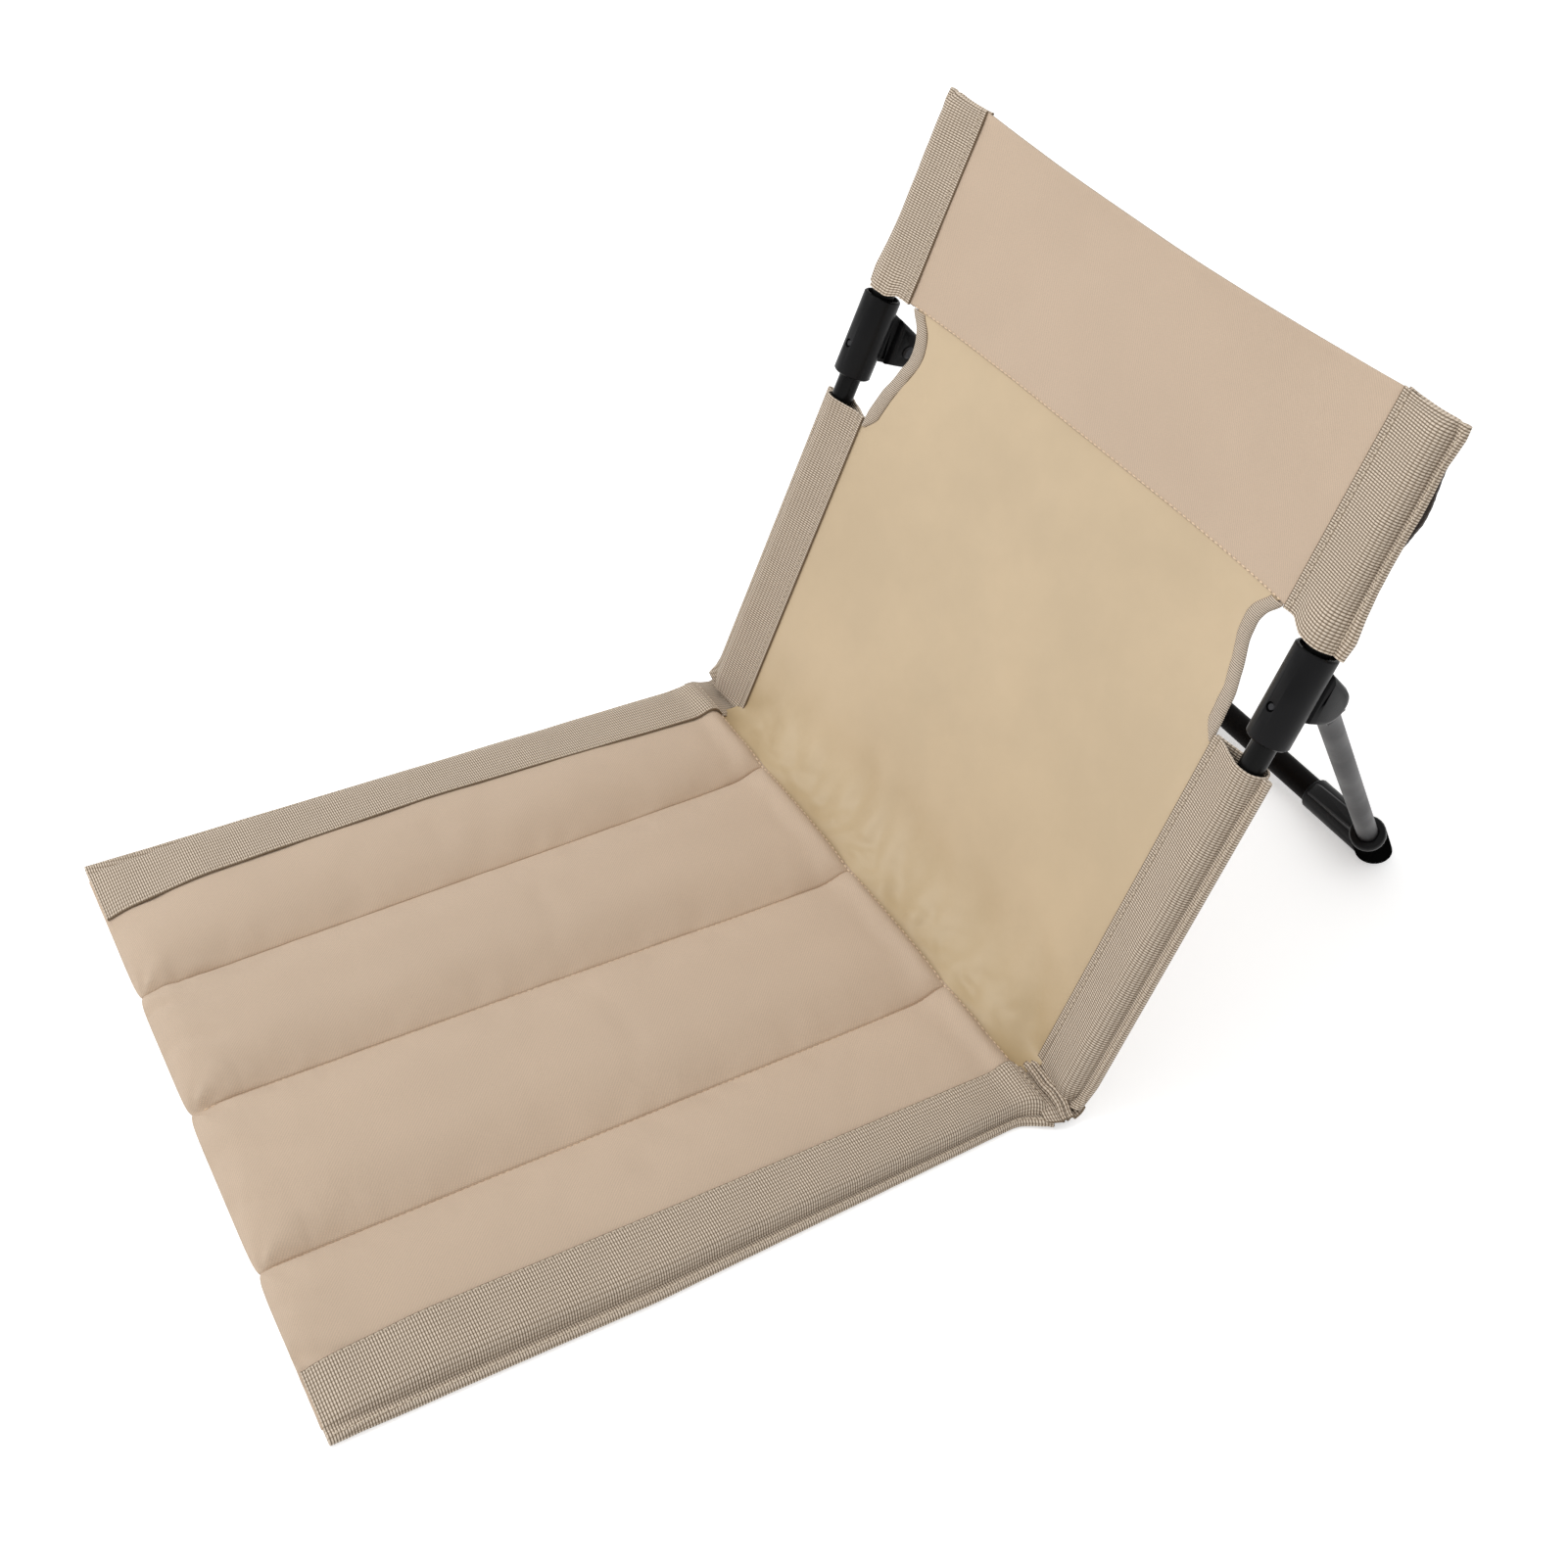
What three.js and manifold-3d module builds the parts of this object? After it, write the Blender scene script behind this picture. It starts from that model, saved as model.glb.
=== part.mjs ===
// A folding floor chair: a quilted seat mat sewn to a tilted cloth back on two uprights, propped
// from behind by a folding leg frame. Millimetres, +Z up; the chair faces -Y, and left and right
// are as seen from the front, so left is -X.
import * as THREE from "three";
import { mergeVertices } from "three/addons/utils/BufferGeometryUtils.js";
import Module from "manifold-3d";

const wasm = await Module();
wasm.setup();

// Overall sizes
const chairWidth = 400; // over the webbing edges
const seatDepth = 395; // from the floor line of the back to the front edge of the mat
const backHeight = 392; // from the floor line up along the back
const backAngle = THREE.MathUtils.degToRad(69.8); // between the floor and the back
const webbingWidth = 40; // of the folded webbing along every side
const clothThickness = 1.2;
const webbingThickness = 1.3;
const fitGap = 0.3; // between pieces that touch
const runningGap = 0.06; // round a pin that turns
const cutOverrun = 5; // how far a cutting body runs past what it cuts
const weldDistance = 0.001; // vertices closer than this are one

// Hinge seam, sewn along the rear edge of the mat
const hingeForward = 14; // in front of the floor line of the back
const hingeHeight = 8;
const seamRadius = 2;

// Seat mat
const padHeight = 15;
const stitchSpacing = 97.5; // from one stitch line to the next
const frontRounding = 13; // how far back the front edge of the pad is rounded
const rearTaper = 34; // length over which the pad thins to the hinge seam
const frontDrawIn = 5; // how far a stitch line pulls the front edge back
const edgeStripWidth = 6.7; // outer strip where the folded webbing is stitched to itself
const edgeStripHeight = 4.2;
const padEdgeShare = 0.42; // height left in the outer channels under the webbing
const padCrownPower = 2.3;
const padCrownRoot = 0.6;
const padEdgeStartShare = 0.4; // where the outer channels begin to fall towards that height

// Uprights and their plugs
const uprightInset = 14; // from the outer webbing edge to the tube's axis
const uprightDiameter = 13;
const uprightWall = 1;
const uprightFootEnd = 14; // lower end, up the back
const uprightTopInset = 8; // from the top of the back to the upper end
const plugHeadHeight = 2;
const plugRounding = 1.2;
const plugSpigotLength = 9;

// Back cloth
const backSag = 9; // how far the middle of the cloth hangs behind the uprights
const cutoutHang = 2.5; // how much further its free edges hang beside the brackets
const headbandThickness = 2.4;
const headbandDip = 5; // how far the top edge hangs between the uprights
const headbandHeight = 111; // of the upper sleeves too
const cutoutHeight = 70; // between the lower and the upper sleeves
const sleeveSlack = 0.4; // between the upright and the webbing round it
const sleeveSeamWidth = 6; // inner edge, where the two layers are stitched together
const sleeveFoot = 1.5; // lower end of the lower sleeve, up the back
const pocketFloor = 3; // closed end of a sleeve, beyond the plug
const cornerBend = 20; // up the back, where the cloth has turned out of the corner
const rippleHeight = 1.6; // of the soft folds just above the hinge
const rippleCount = 5;
const rippleReach = 90; // how far up the back they fade out
const cutoutDepth = 12; // in from the sleeves
const bindingWidth = 9;
const bindingThickness = 2.8;
const bindingFlatness = 0.75; // how much thinner than that its two edges are, squared
const bindingStartWidths = 1.5; // in binding widths, how far up it grows to its full width
const cutoutDepthShares = [0, 0.08, 0.22, 0.44, 0.7, 0.97, 1, 0.78, 0.2]; // bottom to top, evenly spaced
const stripLengthShare = 0.8; // of the headband's height: the hook-and-loop strips
const stripThickness = 1.6;

// Hinge brackets
const bracketDiameter = 22;
const bracketLength = 49;
const bracketDrop = 6; // from the upper sleeve to the top of the bracket
const bracketMouthDiameter = 18.4; // wider mouth at the top of the sleeve
const bracketMouthDepth = 2.6;
const bracketEdge = 0.8; // chamfer at both ends of the sleeve
const pivotAboveBottom = 22;
const pivotBehind = 25; // behind the axis of the upright
const pivotInset = 2; // nearer to the middle than the axis of the upright
const headDiameter = 21.5;
const headWidth = 16.6;
const headRounding = 3.4;
const webWidth = 10;
const webRoofDrop = 3; // from the top of the sleeve to the top of the web
const webFoot = 12; // from the bottom of the sleeve to the bottom of the web
const webRounding = 1;
const pocketDepth = 1.4; // lightening pocket in each face of the web
const pocketMargin = 2;
const rivetDiameter = 4.6;
const rivetShankDiameter = 3;
const rivetRecess = 0.7;
const rivetAboveBottom = 18;
const rivetHeadHeight = 1.4;
const headFlatShare = 0.65; // flat middle of a rivet's or pin's head

// Pivot and knuckle
const pinDiameter = 4;
const pinHeadDiameter = 7.4;
const pinHeadHeight = 1.1;
const pinBlindWall = 1.2; // left under the outer face of the bracket
const tongueThickness = 9;
const tongueDiameter = 15;
const neckWidth = 11;
const swingGap = 0.5; // round the tongue and the neck as they swing
const tubeStart = 14.2; // from the pivot to the end of the leg tube, along the leg
const shoulderHeight = 1.2; // of the tongue, on the end of the tube
const spigotLength = 16; // of the tongue, inside the tube

// Leg frame
const legTubeDiameter = 12;
const legTubeWall = 1;
const footBehind = 281.5; // where the axes of the legs meet the floor
const footInset = 73.5; // nearer to the middle than the pivot
const crossbarDiameter = 16;
const crossbarWall = 1.2;
const crossbarAboveFloor = 12.5;
const armDiameter = 20;
const armLength = 51; // from the leg's axis along the crossbar
const armChamfer = 1.4;
const crossbarSeat = 15; // from the leg's axis to the end of the crossbar
const gussetThickness = 9;
const gussetRise = 7; // above the arm at its inner end
const gussetChamfer = 1;
const footDiameter = 21;
const collarHeight = 43; // from the floor to the top of the collar, along the leg
const collarDome = 2.5;
const domeEdgeShares = [0.3, 0.4]; // of the dome's height: in from its edge, and down from its top
const collarMouth = 15.5; // diameter of the flat round the tube
const capHeight = 38; // from the floor to the upper edge of the rubber, along the leg
const coreDiameter = 16.6; // of the connector inside the rubber
const coreEnd = 11; // from the floor to the end of the core, along the leg
const tubeEnd = 15; // from the floor to the end of the leg tube, along the leg

// Facets
const fineSteps = 24;
const plainSteps = 20;
const smallSteps = 12;
const channelColumns = 6; // between two stitch lines
const outerColumns = 4; // from the last stitch line to the webbing
const webbingColumns = 4; // under the webbing
const matRows = 14;
const foamRowNumbers = [2, 3, 7, 11, 12]; // rows of the mat where the foam has its own
const panelColumns = 16;
const cornerRows = 4;
const plainRows = 5; // from the corner to the cut-outs
const cutoutRows = 9;
const headbandRows = 4;
const bindingColumns = 3;
const flankSteps = 4;
const tabRows = 5;

// Places worked out from the sizes
const halfWidth = chairWidth / 2;
const upperSleeveBottom = backHeight - headbandHeight;
const lowerSleeveTop = upperSleeveBottom - cutoutHeight;
const bracketBottom = upperSleeveBottom - bracketDrop - bracketLength;
const webbingEdge = halfWidth - webbingWidth; // inner edge of the webbing
const uprightX = halfWidth - uprightInset;
const uprightRadius = uprightDiameter / 2;
const uprightTop = backHeight - uprightTopInset;
const pivotX = uprightX - pivotInset;
const pivotUp = bracketBottom + pivotAboveBottom;
const upDirection = new THREE.Vector2(Math.cos(backAngle), Math.sin(backAngle)); // as Y and Z
const behindDirection = new THREE.Vector2(Math.sin(backAngle), -Math.cos(backAngle));
const matRear = -hingeForward - seamRadius - fitGap;
const matEdge = halfWidth - edgeStripWidth; // where the pad's cloth ends inside the webbing

const clothColours = { oxford: 0xc5b19c, coated: 0xcdb898, webbing: 0xb3a28c, seam: 0xa38c70 };
const materials = {
  oxford: new THREE.MeshStandardMaterial({ color: clothColours.oxford, roughness: 0.9, metalness: 0 }),
  coated: new THREE.MeshStandardMaterial({ color: clothColours.coated, roughness: 0.6, metalness: 0 }),
  webbing: new THREE.MeshStandardMaterial({ color: clothColours.webbing, roughness: 0.95, metalness: 0 }),
  seam: new THREE.MeshStandardMaterial({ color: clothColours.seam, roughness: 0.95, metalness: 0 }),
  foam: new THREE.MeshStandardMaterial({ color: 0xe9e4d8, roughness: 1, metalness: 0 }),
  blackTube: new THREE.MeshStandardMaterial({ color: 0x161617, roughness: 0.35, metalness: 0.4 }),
  greyTube: new THREE.MeshStandardMaterial({ color: 0x6a6a6c, roughness: 0.45, metalness: 0.7 }),
  crossbar: new THREE.MeshStandardMaterial({ color: 0x241f1f, roughness: 0.4, metalness: 0.4 }),
  plastic: new THREE.MeshStandardMaterial({ color: 0x1c1c1d, roughness: 0.5, metalness: 0 }),
  rubber: new THREE.MeshStandardMaterial({ color: 0x303030, roughness: 0.8, metalness: 0 }),
  steel: new THREE.MeshStandardMaterial({ color: 0x3a3a3c, roughness: 0.35, metalness: 0.9 }),
  hook: new THREE.MeshStandardMaterial({ color: 0x2a211c, roughness: 1, metalness: 0 }),
};

// The four frames: the whole chair, the back leaning from its floor line, the leg frame hanging
// from its pivots with -Y down the legs, and the mat, which lies on the floor.
const root = new THREE.Group();
const chair = new THREE.Group();
const back = new THREE.Group();
const legs = new THREE.Group();
const mat = new THREE.Group();
root.add(chair);
chair.add(back, legs, mat);
back.rotation.x = backAngle;

const pivotPlace = new THREE.Vector2()
  .addScaledVector(upDirection, pivotUp)
  .addScaledVector(behindDirection, pivotBehind);
const legFall = new THREE.Vector2(footBehind, 0).sub(pivotPlace); // from the pivot to the floor
const legDrop = legFall.length();
legs.position.set(0, pivotPlace.x, pivotPlace.y);
legs.rotation.x = Math.atan2(-legFall.y, -legFall.x);

const legTop = new THREE.Vector3(pivotX, 0, 0);
const legFoot = new THREE.Vector3(pivotX - footInset, -legDrop, 0);
const legLength = legTop.distanceTo(legFoot);
const crossbarDrop = legDrop * (1 - crossbarAboveFloor / pivotPlace.y);

for (const group of [back, legs, mat]) group.updateMatrix();

// A point on the right leg's axis, a distance from the pivot.
function onLeg(distance) {
  return legTop.clone().lerp(legFoot, distance / legLength);
}

const crossbarEnd = onLeg((legLength * crossbarDrop) / legDrop); // where arm and leg axes meet

// Makes a closed geometry from points and triangles, with its faces outwards.
function bodyFrom(points, triangles) {
  const at = (i) => points[i];
  let volume = 0;
  for (const [a, b, c] of triangles) volume += at(a).dot(at(b).clone().cross(at(c)));
  const order = volume < 0 ? ([a, b, c]) => [a, c, b] : (triangle) => triangle;
  return new THREE.BufferGeometry().setFromPoints(points).setIndex(triangles.flatMap(order));
}

// Joins two rings or rows of point numbers with quads.
function strip(first, second, closed) {
  const triangles = [];
  const count = closed ? first.length : first.length - 1;
  for (let i = 0; i < count; i++) {
    const j = (i + 1) % first.length;
    triangles.push([first[i], first[j], second[j]], [first[i], second[j], second[i]]);
  }
  return triangles;
}

// A closed cloth between two surfaces; each takes the numbers of a column and a row.
function closedSheet(columns, rows, front, rear) {
  const points = [];
  const grid = (surface) => {
    const lines = [];
    for (let j = 0; j <= rows; j++) {
      const line = [];
      for (let i = 0; i <= columns; i++) line.push(points.push(surface(i, j)) - 1);
      lines.push(line);
    }
    return lines;
  };
  const near = grid(front);
  const far = grid(rear);
  const rim = (lines) => [
    ...lines[0],
    ...lines.slice(1, -1).map((line) => line.at(-1)),
    ...lines.at(-1).toReversed(),
    ...lines.slice(1, -1).toReversed().map((line) => line[0]),
  ];
  const triangles = strip(rim(far), rim(near), true);
  for (let j = 0; j < rows; j++) {
    triangles.push(...strip(near[j], near[j + 1], false));
    triangles.push(...strip(far[j], far[j + 1], false).map((triangle) => triangle.toReversed()));
  }
  return bodyFrom(points, triangles);
}

// A closed body through rings of points that all have the same count, with flat ends.
function closedLoft(rings, flatten) {
  const points = rings.flat();
  const count = rings[0].length;
  const numbers = rings.map((ring, r) => ring.map((_, i) => r * count + i));
  const triangles = [];
  for (let r = 1; r < rings.length; r++) triangles.push(...strip(numbers[r - 1], numbers[r], true));
  const ends = [numbers[0], numbers.at(-1)];
  ends.forEach((ring, side) => {
    for (const [a, b, c] of THREE.ShapeUtils.triangulateShape(ring.map((i) => flatten(points[i])), [])) {
      triangles.push(side ? [ring[a], ring[b], ring[c]] : [ring[a], ring[c], ring[b]]);
    }
  });
  return bodyFrom(points, triangles);
}

// Joins and cuts are made on closed solids whose shared vertices are merged.
function solidOf(geometry) {
  const bare = geometry.index ? geometry.toNonIndexed() : geometry.clone();
  bare.deleteAttribute("normal");
  bare.deleteAttribute("uv");
  const merged = mergeVertices(bare, weldDistance);
  const vertProperties = merged.attributes.position.array;
  const triVerts = merged.index.array;
  return new wasm.Manifold(new wasm.Mesh({ numProp: 3, vertProperties, triVerts }));
}

function geometryOf(solid) {
  const made = solid.getMesh();
  return new THREE.BufferGeometry()
    .setAttribute("position", new THREE.BufferAttribute(made.vertProperties, 3))
    .setIndex(new THREE.BufferAttribute(made.triVerts, 1));
}

function joined(geometries) {
  return geometries.map(solidOf).reduce((whole, next) => whole.add(next));
}

function cut(solid, geometries) {
  return geometries.map(solidOf).reduce((whole, next) => whole.subtract(next), solid);
}

// Turned about +Y from a closed profile of [radius, height] pairs that runs up the outside.
function turned(profile, steps) {
  return new THREE.LatheGeometry(profile.map(([r, y]) => new THREE.Vector2(r, y)), steps);
}

// Turns a body that stands on the origin along +Y until it runs from one point towards another.
function along(geometry, from, to) {
  const direction = to.clone().sub(from).normalize();
  const turn = new THREE.Quaternion().setFromUnitVectors(new THREE.Vector3(0, 1, 0), direction);
  return geometry.applyQuaternion(turn).translate(from.x, from.y, from.z);
}

function rod(from, to, radius, steps) {
  const length = from.distanceTo(to);
  return along(turned([[0, 0], [radius, 0], [radius, length], [0, length]], steps), from, to);
}

function pipe(from, to, outside, inside, steps) {
  const length = from.distanceTo(to);
  const profile = [[inside, 0], [outside, 0], [outside, length], [inside, length], [inside, 0]];
  return along(turned(profile, steps), from, to);
}

// An outline drawn behind and up the back, made solid across the chair with rounded edges.
function acrossBack(outline, width, centre, rounding) {
  return new THREE.ExtrudeGeometry(outline, {
    depth: width - 2 * rounding,
    bevelEnabled: rounding > 0,
    bevelThickness: rounding,
    bevelSize: rounding,
    bevelOffset: -rounding,
    bevelSegments: 2,
    curveSegments: smallSteps,
  })
    .translate(0, 0, rounding - width / 2)
    .rotateY(Math.PI / 2)
    .translate(centre, 0, 0);
}

// An outline drawn across the chair and behind the uprights, made solid up the back.
function upBack(outline, bottom, top) {
  return new THREE.ExtrudeGeometry(outline, {
    depth: top - bottom,
    bevelEnabled: false,
    curveSegments: smallSteps,
  })
    .rotateX(-Math.PI / 2)
    .translate(0, bottom, 0);
}

// What lies under the floor, in the frame of a tilted group.
function underFloor(group) {
  const size = seatDepth + backHeight;
  return new THREE.BoxGeometry(size, size, size)
    .translate(0, 0, -size / 2)
    .applyMatrix4(group.matrix.clone().invert());
}

function place(group, name, geometry, material) {
  const mesh = new THREE.Mesh(geometry, material);
  mesh.name = name;
  group.add(mesh);
  return mesh;
}

// A piece made for the right side, and its mirror image on the left.
function placePair(group, name, geometry, material) {
  place(group, name + "_right", geometry, material);
  place(group, name + "_left", geometry, material).scale.x = -1;
}

function smooth(value) {
  return THREE.MathUtils.smoothstep(value, 0, 1);
}

// Spreads shares towards both ends, or towards the start, so that steep places get more rows.
function toEnds(share) {
  return (1 - Math.cos(Math.PI * share)) / 2;
}

function toStart(share) {
  return 1 - Math.cos((Math.PI / 2) * share);
}

function evenly(share) {
  return share;
}

// Numbers from one value to another, in steps spread by one of these.
function spaced(from, to, steps, spread) {
  const shares = Array.from({ length: steps + 1 }, (_, i) => spread(i / steps));
  return shares.map((share) => THREE.MathUtils.lerp(from, to, share));
}

// Points along part of a circle.
function arc(centreX, centreY, radius, from, to, steps) {
  const at = (angle) => [centreX + radius * Math.cos(angle), centreY + radius * Math.sin(angle)];
  return spaced(from, to, steps, evenly).map((angle) => new THREE.Vector2(...at(angle)));
}

// Seat mat

function channelCrown(share) {
  const side = Math.abs(2 * share - 1);
  return Math.pow(Math.max(0, 1 - Math.pow(side, padCrownPower)), padCrownRoot);
}

// How full the pad is at a place across the mat: nought at a stitch line, one on a crown.
function fullness(x) {
  const fromMiddle = Math.abs(x) / stitchSpacing;
  if (fromMiddle < 1) return channelCrown(fromMiddle);
  const share = (Math.abs(x) - stitchSpacing) / (halfWidth - stitchSpacing);
  const fall = smooth((share - padEdgeStartShare) / (1 - padEdgeStartShare));
  return channelCrown(share) * (1 - (1 - padEdgeShare) * fall);
}

// The stitch lines pull the front edge back.
function matFront(x) {
  const pulled = Math.abs(x) < (stitchSpacing + halfWidth) / 2 ? 1 - fullness(x) : 0;
  return -seatDepth + frontDrawIn * Math.max(0, pulled);
}

function matLift(y) {
  return smooth((y - matRear + rearTaper) / rearTaper);
}

// Top of the base cloth, which rises to the hinge seam at the rear.
function baseTop(y) {
  return clothThickness + matLift(y) * (hingeHeight - clothThickness - fitGap / 2);
}

// Underside of the cover, over the foam.
function coverUnder(x, y) {
  const fromFront = THREE.MathUtils.clamp((y - matFront(x)) / frontRounding, 0, 1);
  const nose = Math.sqrt(1 - (1 - fromFront) * (1 - fromFront));
  const rise = (padHeight - 2 * clothThickness - fitGap) * fullness(x) * nose * (1 - matLift(y));
  return baseTop(y) + fitGap + rise;
}

// Columns across the mat, close together at the stitch lines, with one on the webbing's edge.
const webbingLine = spaced(webbingEdge, matEdge - fitGap, webbingColumns, evenly);
const halfColumns = [
  ...spaced(0, stitchSpacing, channelColumns, toEnds).slice(0, -1),
  ...spaced(stitchSpacing, webbingEdge, outerColumns, toStart).slice(0, -1),
  ...webbingLine,
];
const matColumns = [...halfColumns.slice(1).toReversed().map((x) => -x), ...halfColumns];
const middleColumn = halfColumns.length - 1;

function matRow(number, x) {
  return THREE.MathUtils.lerp(matRear, matFront(x), toEnds(number / matRows));
}

function onCover(x, row, rise) {
  const y = matRow(row, x);
  return new THREE.Vector3(x, y, coverUnder(x, y) + rise);
}

function seatCover() {
  const top = (i, j) => onCover(matColumns[i], j, clothThickness);
  const underside = (i, j) => onCover(matColumns[i], j, 0);
  return closedSheet(matColumns.length - 1, matRows, top, underside);
}

function seatBaseCloth() {
  const edge = webbingEdge - fitGap;
  const rows = spaced(matRear, -seatDepth + frontDrawIn, matRows, toEnds);
  const surface = (i, j, drop) => new THREE.Vector3(i ? edge : -edge, rows[j], baseTop(rows[j]) - drop);
  const top = (i, j) => surface(i, j, 0);
  const underside = (i, j) => surface(i, j, clothThickness);
  return closedSheet(1, matRows, top, underside);
}

// Foam strips lie between the base cloth and the cover, one in each channel, from one column
// and row of the cover to another, so that they never reach through it.
function foamStrip(firstColumn, lastColumn) {
  const columns = matColumns.slice(firstColumn + 1, lastColumn);
  const top = (i, j) => onCover(columns[i], foamRowNumbers[j], -fitGap);
  const underside = (i, j) => {
    const y = matRow(foamRowNumbers[j], columns[i]);
    return new THREE.Vector3(columns[i], y, baseTop(y) + fitGap);
  };
  return closedSheet(columns.length - 1, foamRowNumbers.length - 1, top, underside);
}

// Webbing folded over a side of the mat: over the cover, round the edge and under the base.
// Side is 1 on the right and -1 on the left, where the rows run the other way, so that on both
// sides the facets lie like those of the cover below.
function seatWebbing(side) {
  const rows = Array.from({ length: matRows + 1 }, (_, i) => (side > 0 ? i : matRows - i));
  const rings = [];
  for (const row of rows) {
    const under = webbingLine.map((x) => onCover(x, row, clothThickness + fitGap));
    under.push(under.at(-1).clone().setX(matEdge));
    const over = under.map((point) => point.clone().setZ(point.z + webbingThickness));
    const y = matRow(row, halfWidth);
    const floor = baseTop(y) - clothThickness;
    const stripTop = Math.max(floor + edgeStripHeight, over.at(-1).z);
    rings.push([
      new THREE.Vector3(webbingEdge, y, floor),
      new THREE.Vector3(halfWidth, y, floor),
      new THREE.Vector3(halfWidth, y, stripTop),
      ...over.toReversed(),
      ...under,
      new THREE.Vector3(matEdge, y, floor + clothThickness),
      new THREE.Vector3(webbingEdge, y, floor + clothThickness),
    ]);
  }
  for (const point of rings.flat()) point.x *= side;
  return closedLoft(rings, (point) => new THREE.Vector2(side * point.x, point.z));
}

function hingeSeam() {
  const from = new THREE.Vector3(-halfWidth, -hingeForward, hingeHeight);
  const to = new THREE.Vector3(halfWidth, -hingeForward, hingeHeight);
  return rod(from, to, seamRadius, smallSteps);
}

place(mat, "seat_cover", seatCover(), materials.oxford);
place(mat, "seat_base_cloth", seatBaseCloth(), materials.oxford);
const stitchColumns = [0, middleColumn - channelColumns, middleColumn];
stitchColumns.push(middleColumn + channelColumns, matColumns.length - 1);
for (let number = 1; number < stitchColumns.length; number++) {
  const strip = foamStrip(stitchColumns[number - 1], stitchColumns[number]);
  place(mat, "seat_foam_" + number, strip, materials.foam);
}
place(mat, "seat_webbing_right", seatWebbing(1), materials.webbing);
place(mat, "seat_webbing_left", seatWebbing(-1), materials.webbing);
place(mat, "hinge_seam", hingeSeam(), materials.seam);

// Uprights, plugs and rivets

const rivetUp = bracketBottom + rivetAboveBottom;

// A rivet goes into the front of the bracket and through the wall of the upright.
function rivetHole(radius, from, to) {
  const start = new THREE.Vector3(uprightX, rivetUp, from);
  return rod(start, new THREE.Vector3(uprightX, rivetUp, to), radius, smallSteps);
}

function upright() {
  const foot = new THREE.Vector3(uprightX, uprightFootEnd, 0);
  const top = new THREE.Vector3(uprightX, uprightTop, 0);
  const tube = pipe(foot, top, uprightRadius, uprightRadius - uprightWall, plainSteps);
  const hole = rivetHole(rivetShankDiameter / 2 + fitGap, 0, bracketDiameter);
  return geometryOf(cut(solidOf(tube), [hole]));
}

// A plug closes an end of the upright: a head on the end and a spigot inside the tube.
function uprightPlug(end, inwards) {
  const spigot = uprightRadius - uprightWall - fitGap;
  const seat = plugHeadHeight;
  const profile = [
    [0, 0],
    [uprightRadius - plugRounding, 0],
    [uprightRadius, plugRounding],
    [uprightRadius, seat],
    [spigot, seat],
    [spigot, seat + plugSpigotLength],
    [0, seat + plugSpigotLength],
  ];
  const start = new THREE.Vector3(uprightX, end - inwards * (plugHeadHeight + fitGap), 0);
  const onwards = start.clone().add(new THREE.Vector3(0, inwards * seat, 0));
  return along(turned(profile, plainSteps), start, onwards);
}

function bracketRivet() {
  const front = bracketDiameter / 2 - rivetRecess;
  const head = rivetDiameter / 2;
  const shank = rivetShankDiameter / 2;
  const seat = front - rivetHeadHeight;
  const end = uprightRadius - uprightWall - fitGap;
  const profile = [
    [0, end],
    [shank, end],
    [shank, seat],
    [head, seat],
    [head, front - rivetHeadHeight / 2],
    [head * headFlatShare, front],
    [0, front],
  ];
  return turned(profile, smallSteps).rotateX(Math.PI / 2).translate(uprightX, rivetUp, 0);
}

placePair(back, "upright", upright(), materials.blackTube);
placePair(back, "upright_foot_plug", uprightPlug(uprightFootEnd, 1), materials.plastic);
placePair(back, "upright_top_plug", uprightPlug(uprightTop, -1), materials.plastic);
placePair(back, "bracket_rivet", bracketRivet(), materials.steel);

// Hinge brackets: a sleeve on the upright, a web behind it and a hooded clevis for the knuckle.

const headRadius = headDiameter / 2;
const webTop = bracketBottom + bracketLength - webRoofDrop;
const webBottom = bracketBottom + webFoot;

// The leg's directions seen from the side, as behind and up, open and folded.
const openDirection = new THREE.Vector2(legFall.dot(behindDirection), legFall.dot(upDirection)).normalize();
const foldedDirection = new THREE.Vector2(0, -1);

// The angle on the head at which a line from an outside point touches it.
function touchAngle(behind, up, side) {
  const across = behind - pivotBehind;
  const above = up - pivotUp;
  const reach = Math.acos(headRadius / Math.hypot(across, above));
  return Math.atan2(above, across) + side * reach;
}

// The web from the sleeve's axis to the head, with the head's far side as one arc.
function webOutline(start) {
  const roof = touchAngle(0, webTop, -1);
  const sole = touchAngle(0, webBottom, 1);
  const touch = (angle) => [
    pivotBehind + headRadius * Math.cos(angle),
    pivotUp + headRadius * Math.sin(angle),
  ];
  const [roofBehind, roofUp] = touch(roof);
  const [soleBehind, soleUp] = touch(sole);
  const outline = new THREE.Shape();
  outline.moveTo(start, THREE.MathUtils.lerp(webBottom, soleUp, start / soleBehind));
  outline.lineTo(start, THREE.MathUtils.lerp(webTop, roofUp, start / roofBehind));
  outline.lineTo(roofBehind, roofUp);
  outline.absarc(pivotBehind, pivotUp, headRadius, roof, sole, true);
  return outline;
}

// A strip of the slot, from the pivot along one direction of the leg.
function slotArm(direction, length) {
  const half = neckWidth / 2 + swingGap;
  const side = new THREE.Vector2(-direction.y, direction.x).multiplyScalar(half);
  const near = new THREE.Vector2(pivotBehind, pivotUp);
  const far = near.clone().addScaledVector(direction, length);
  return new THREE.Shape([
    near.clone().add(side),
    near.clone().sub(side),
    far.clone().sub(side),
    far.clone().add(side),
  ]);
}

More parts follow.
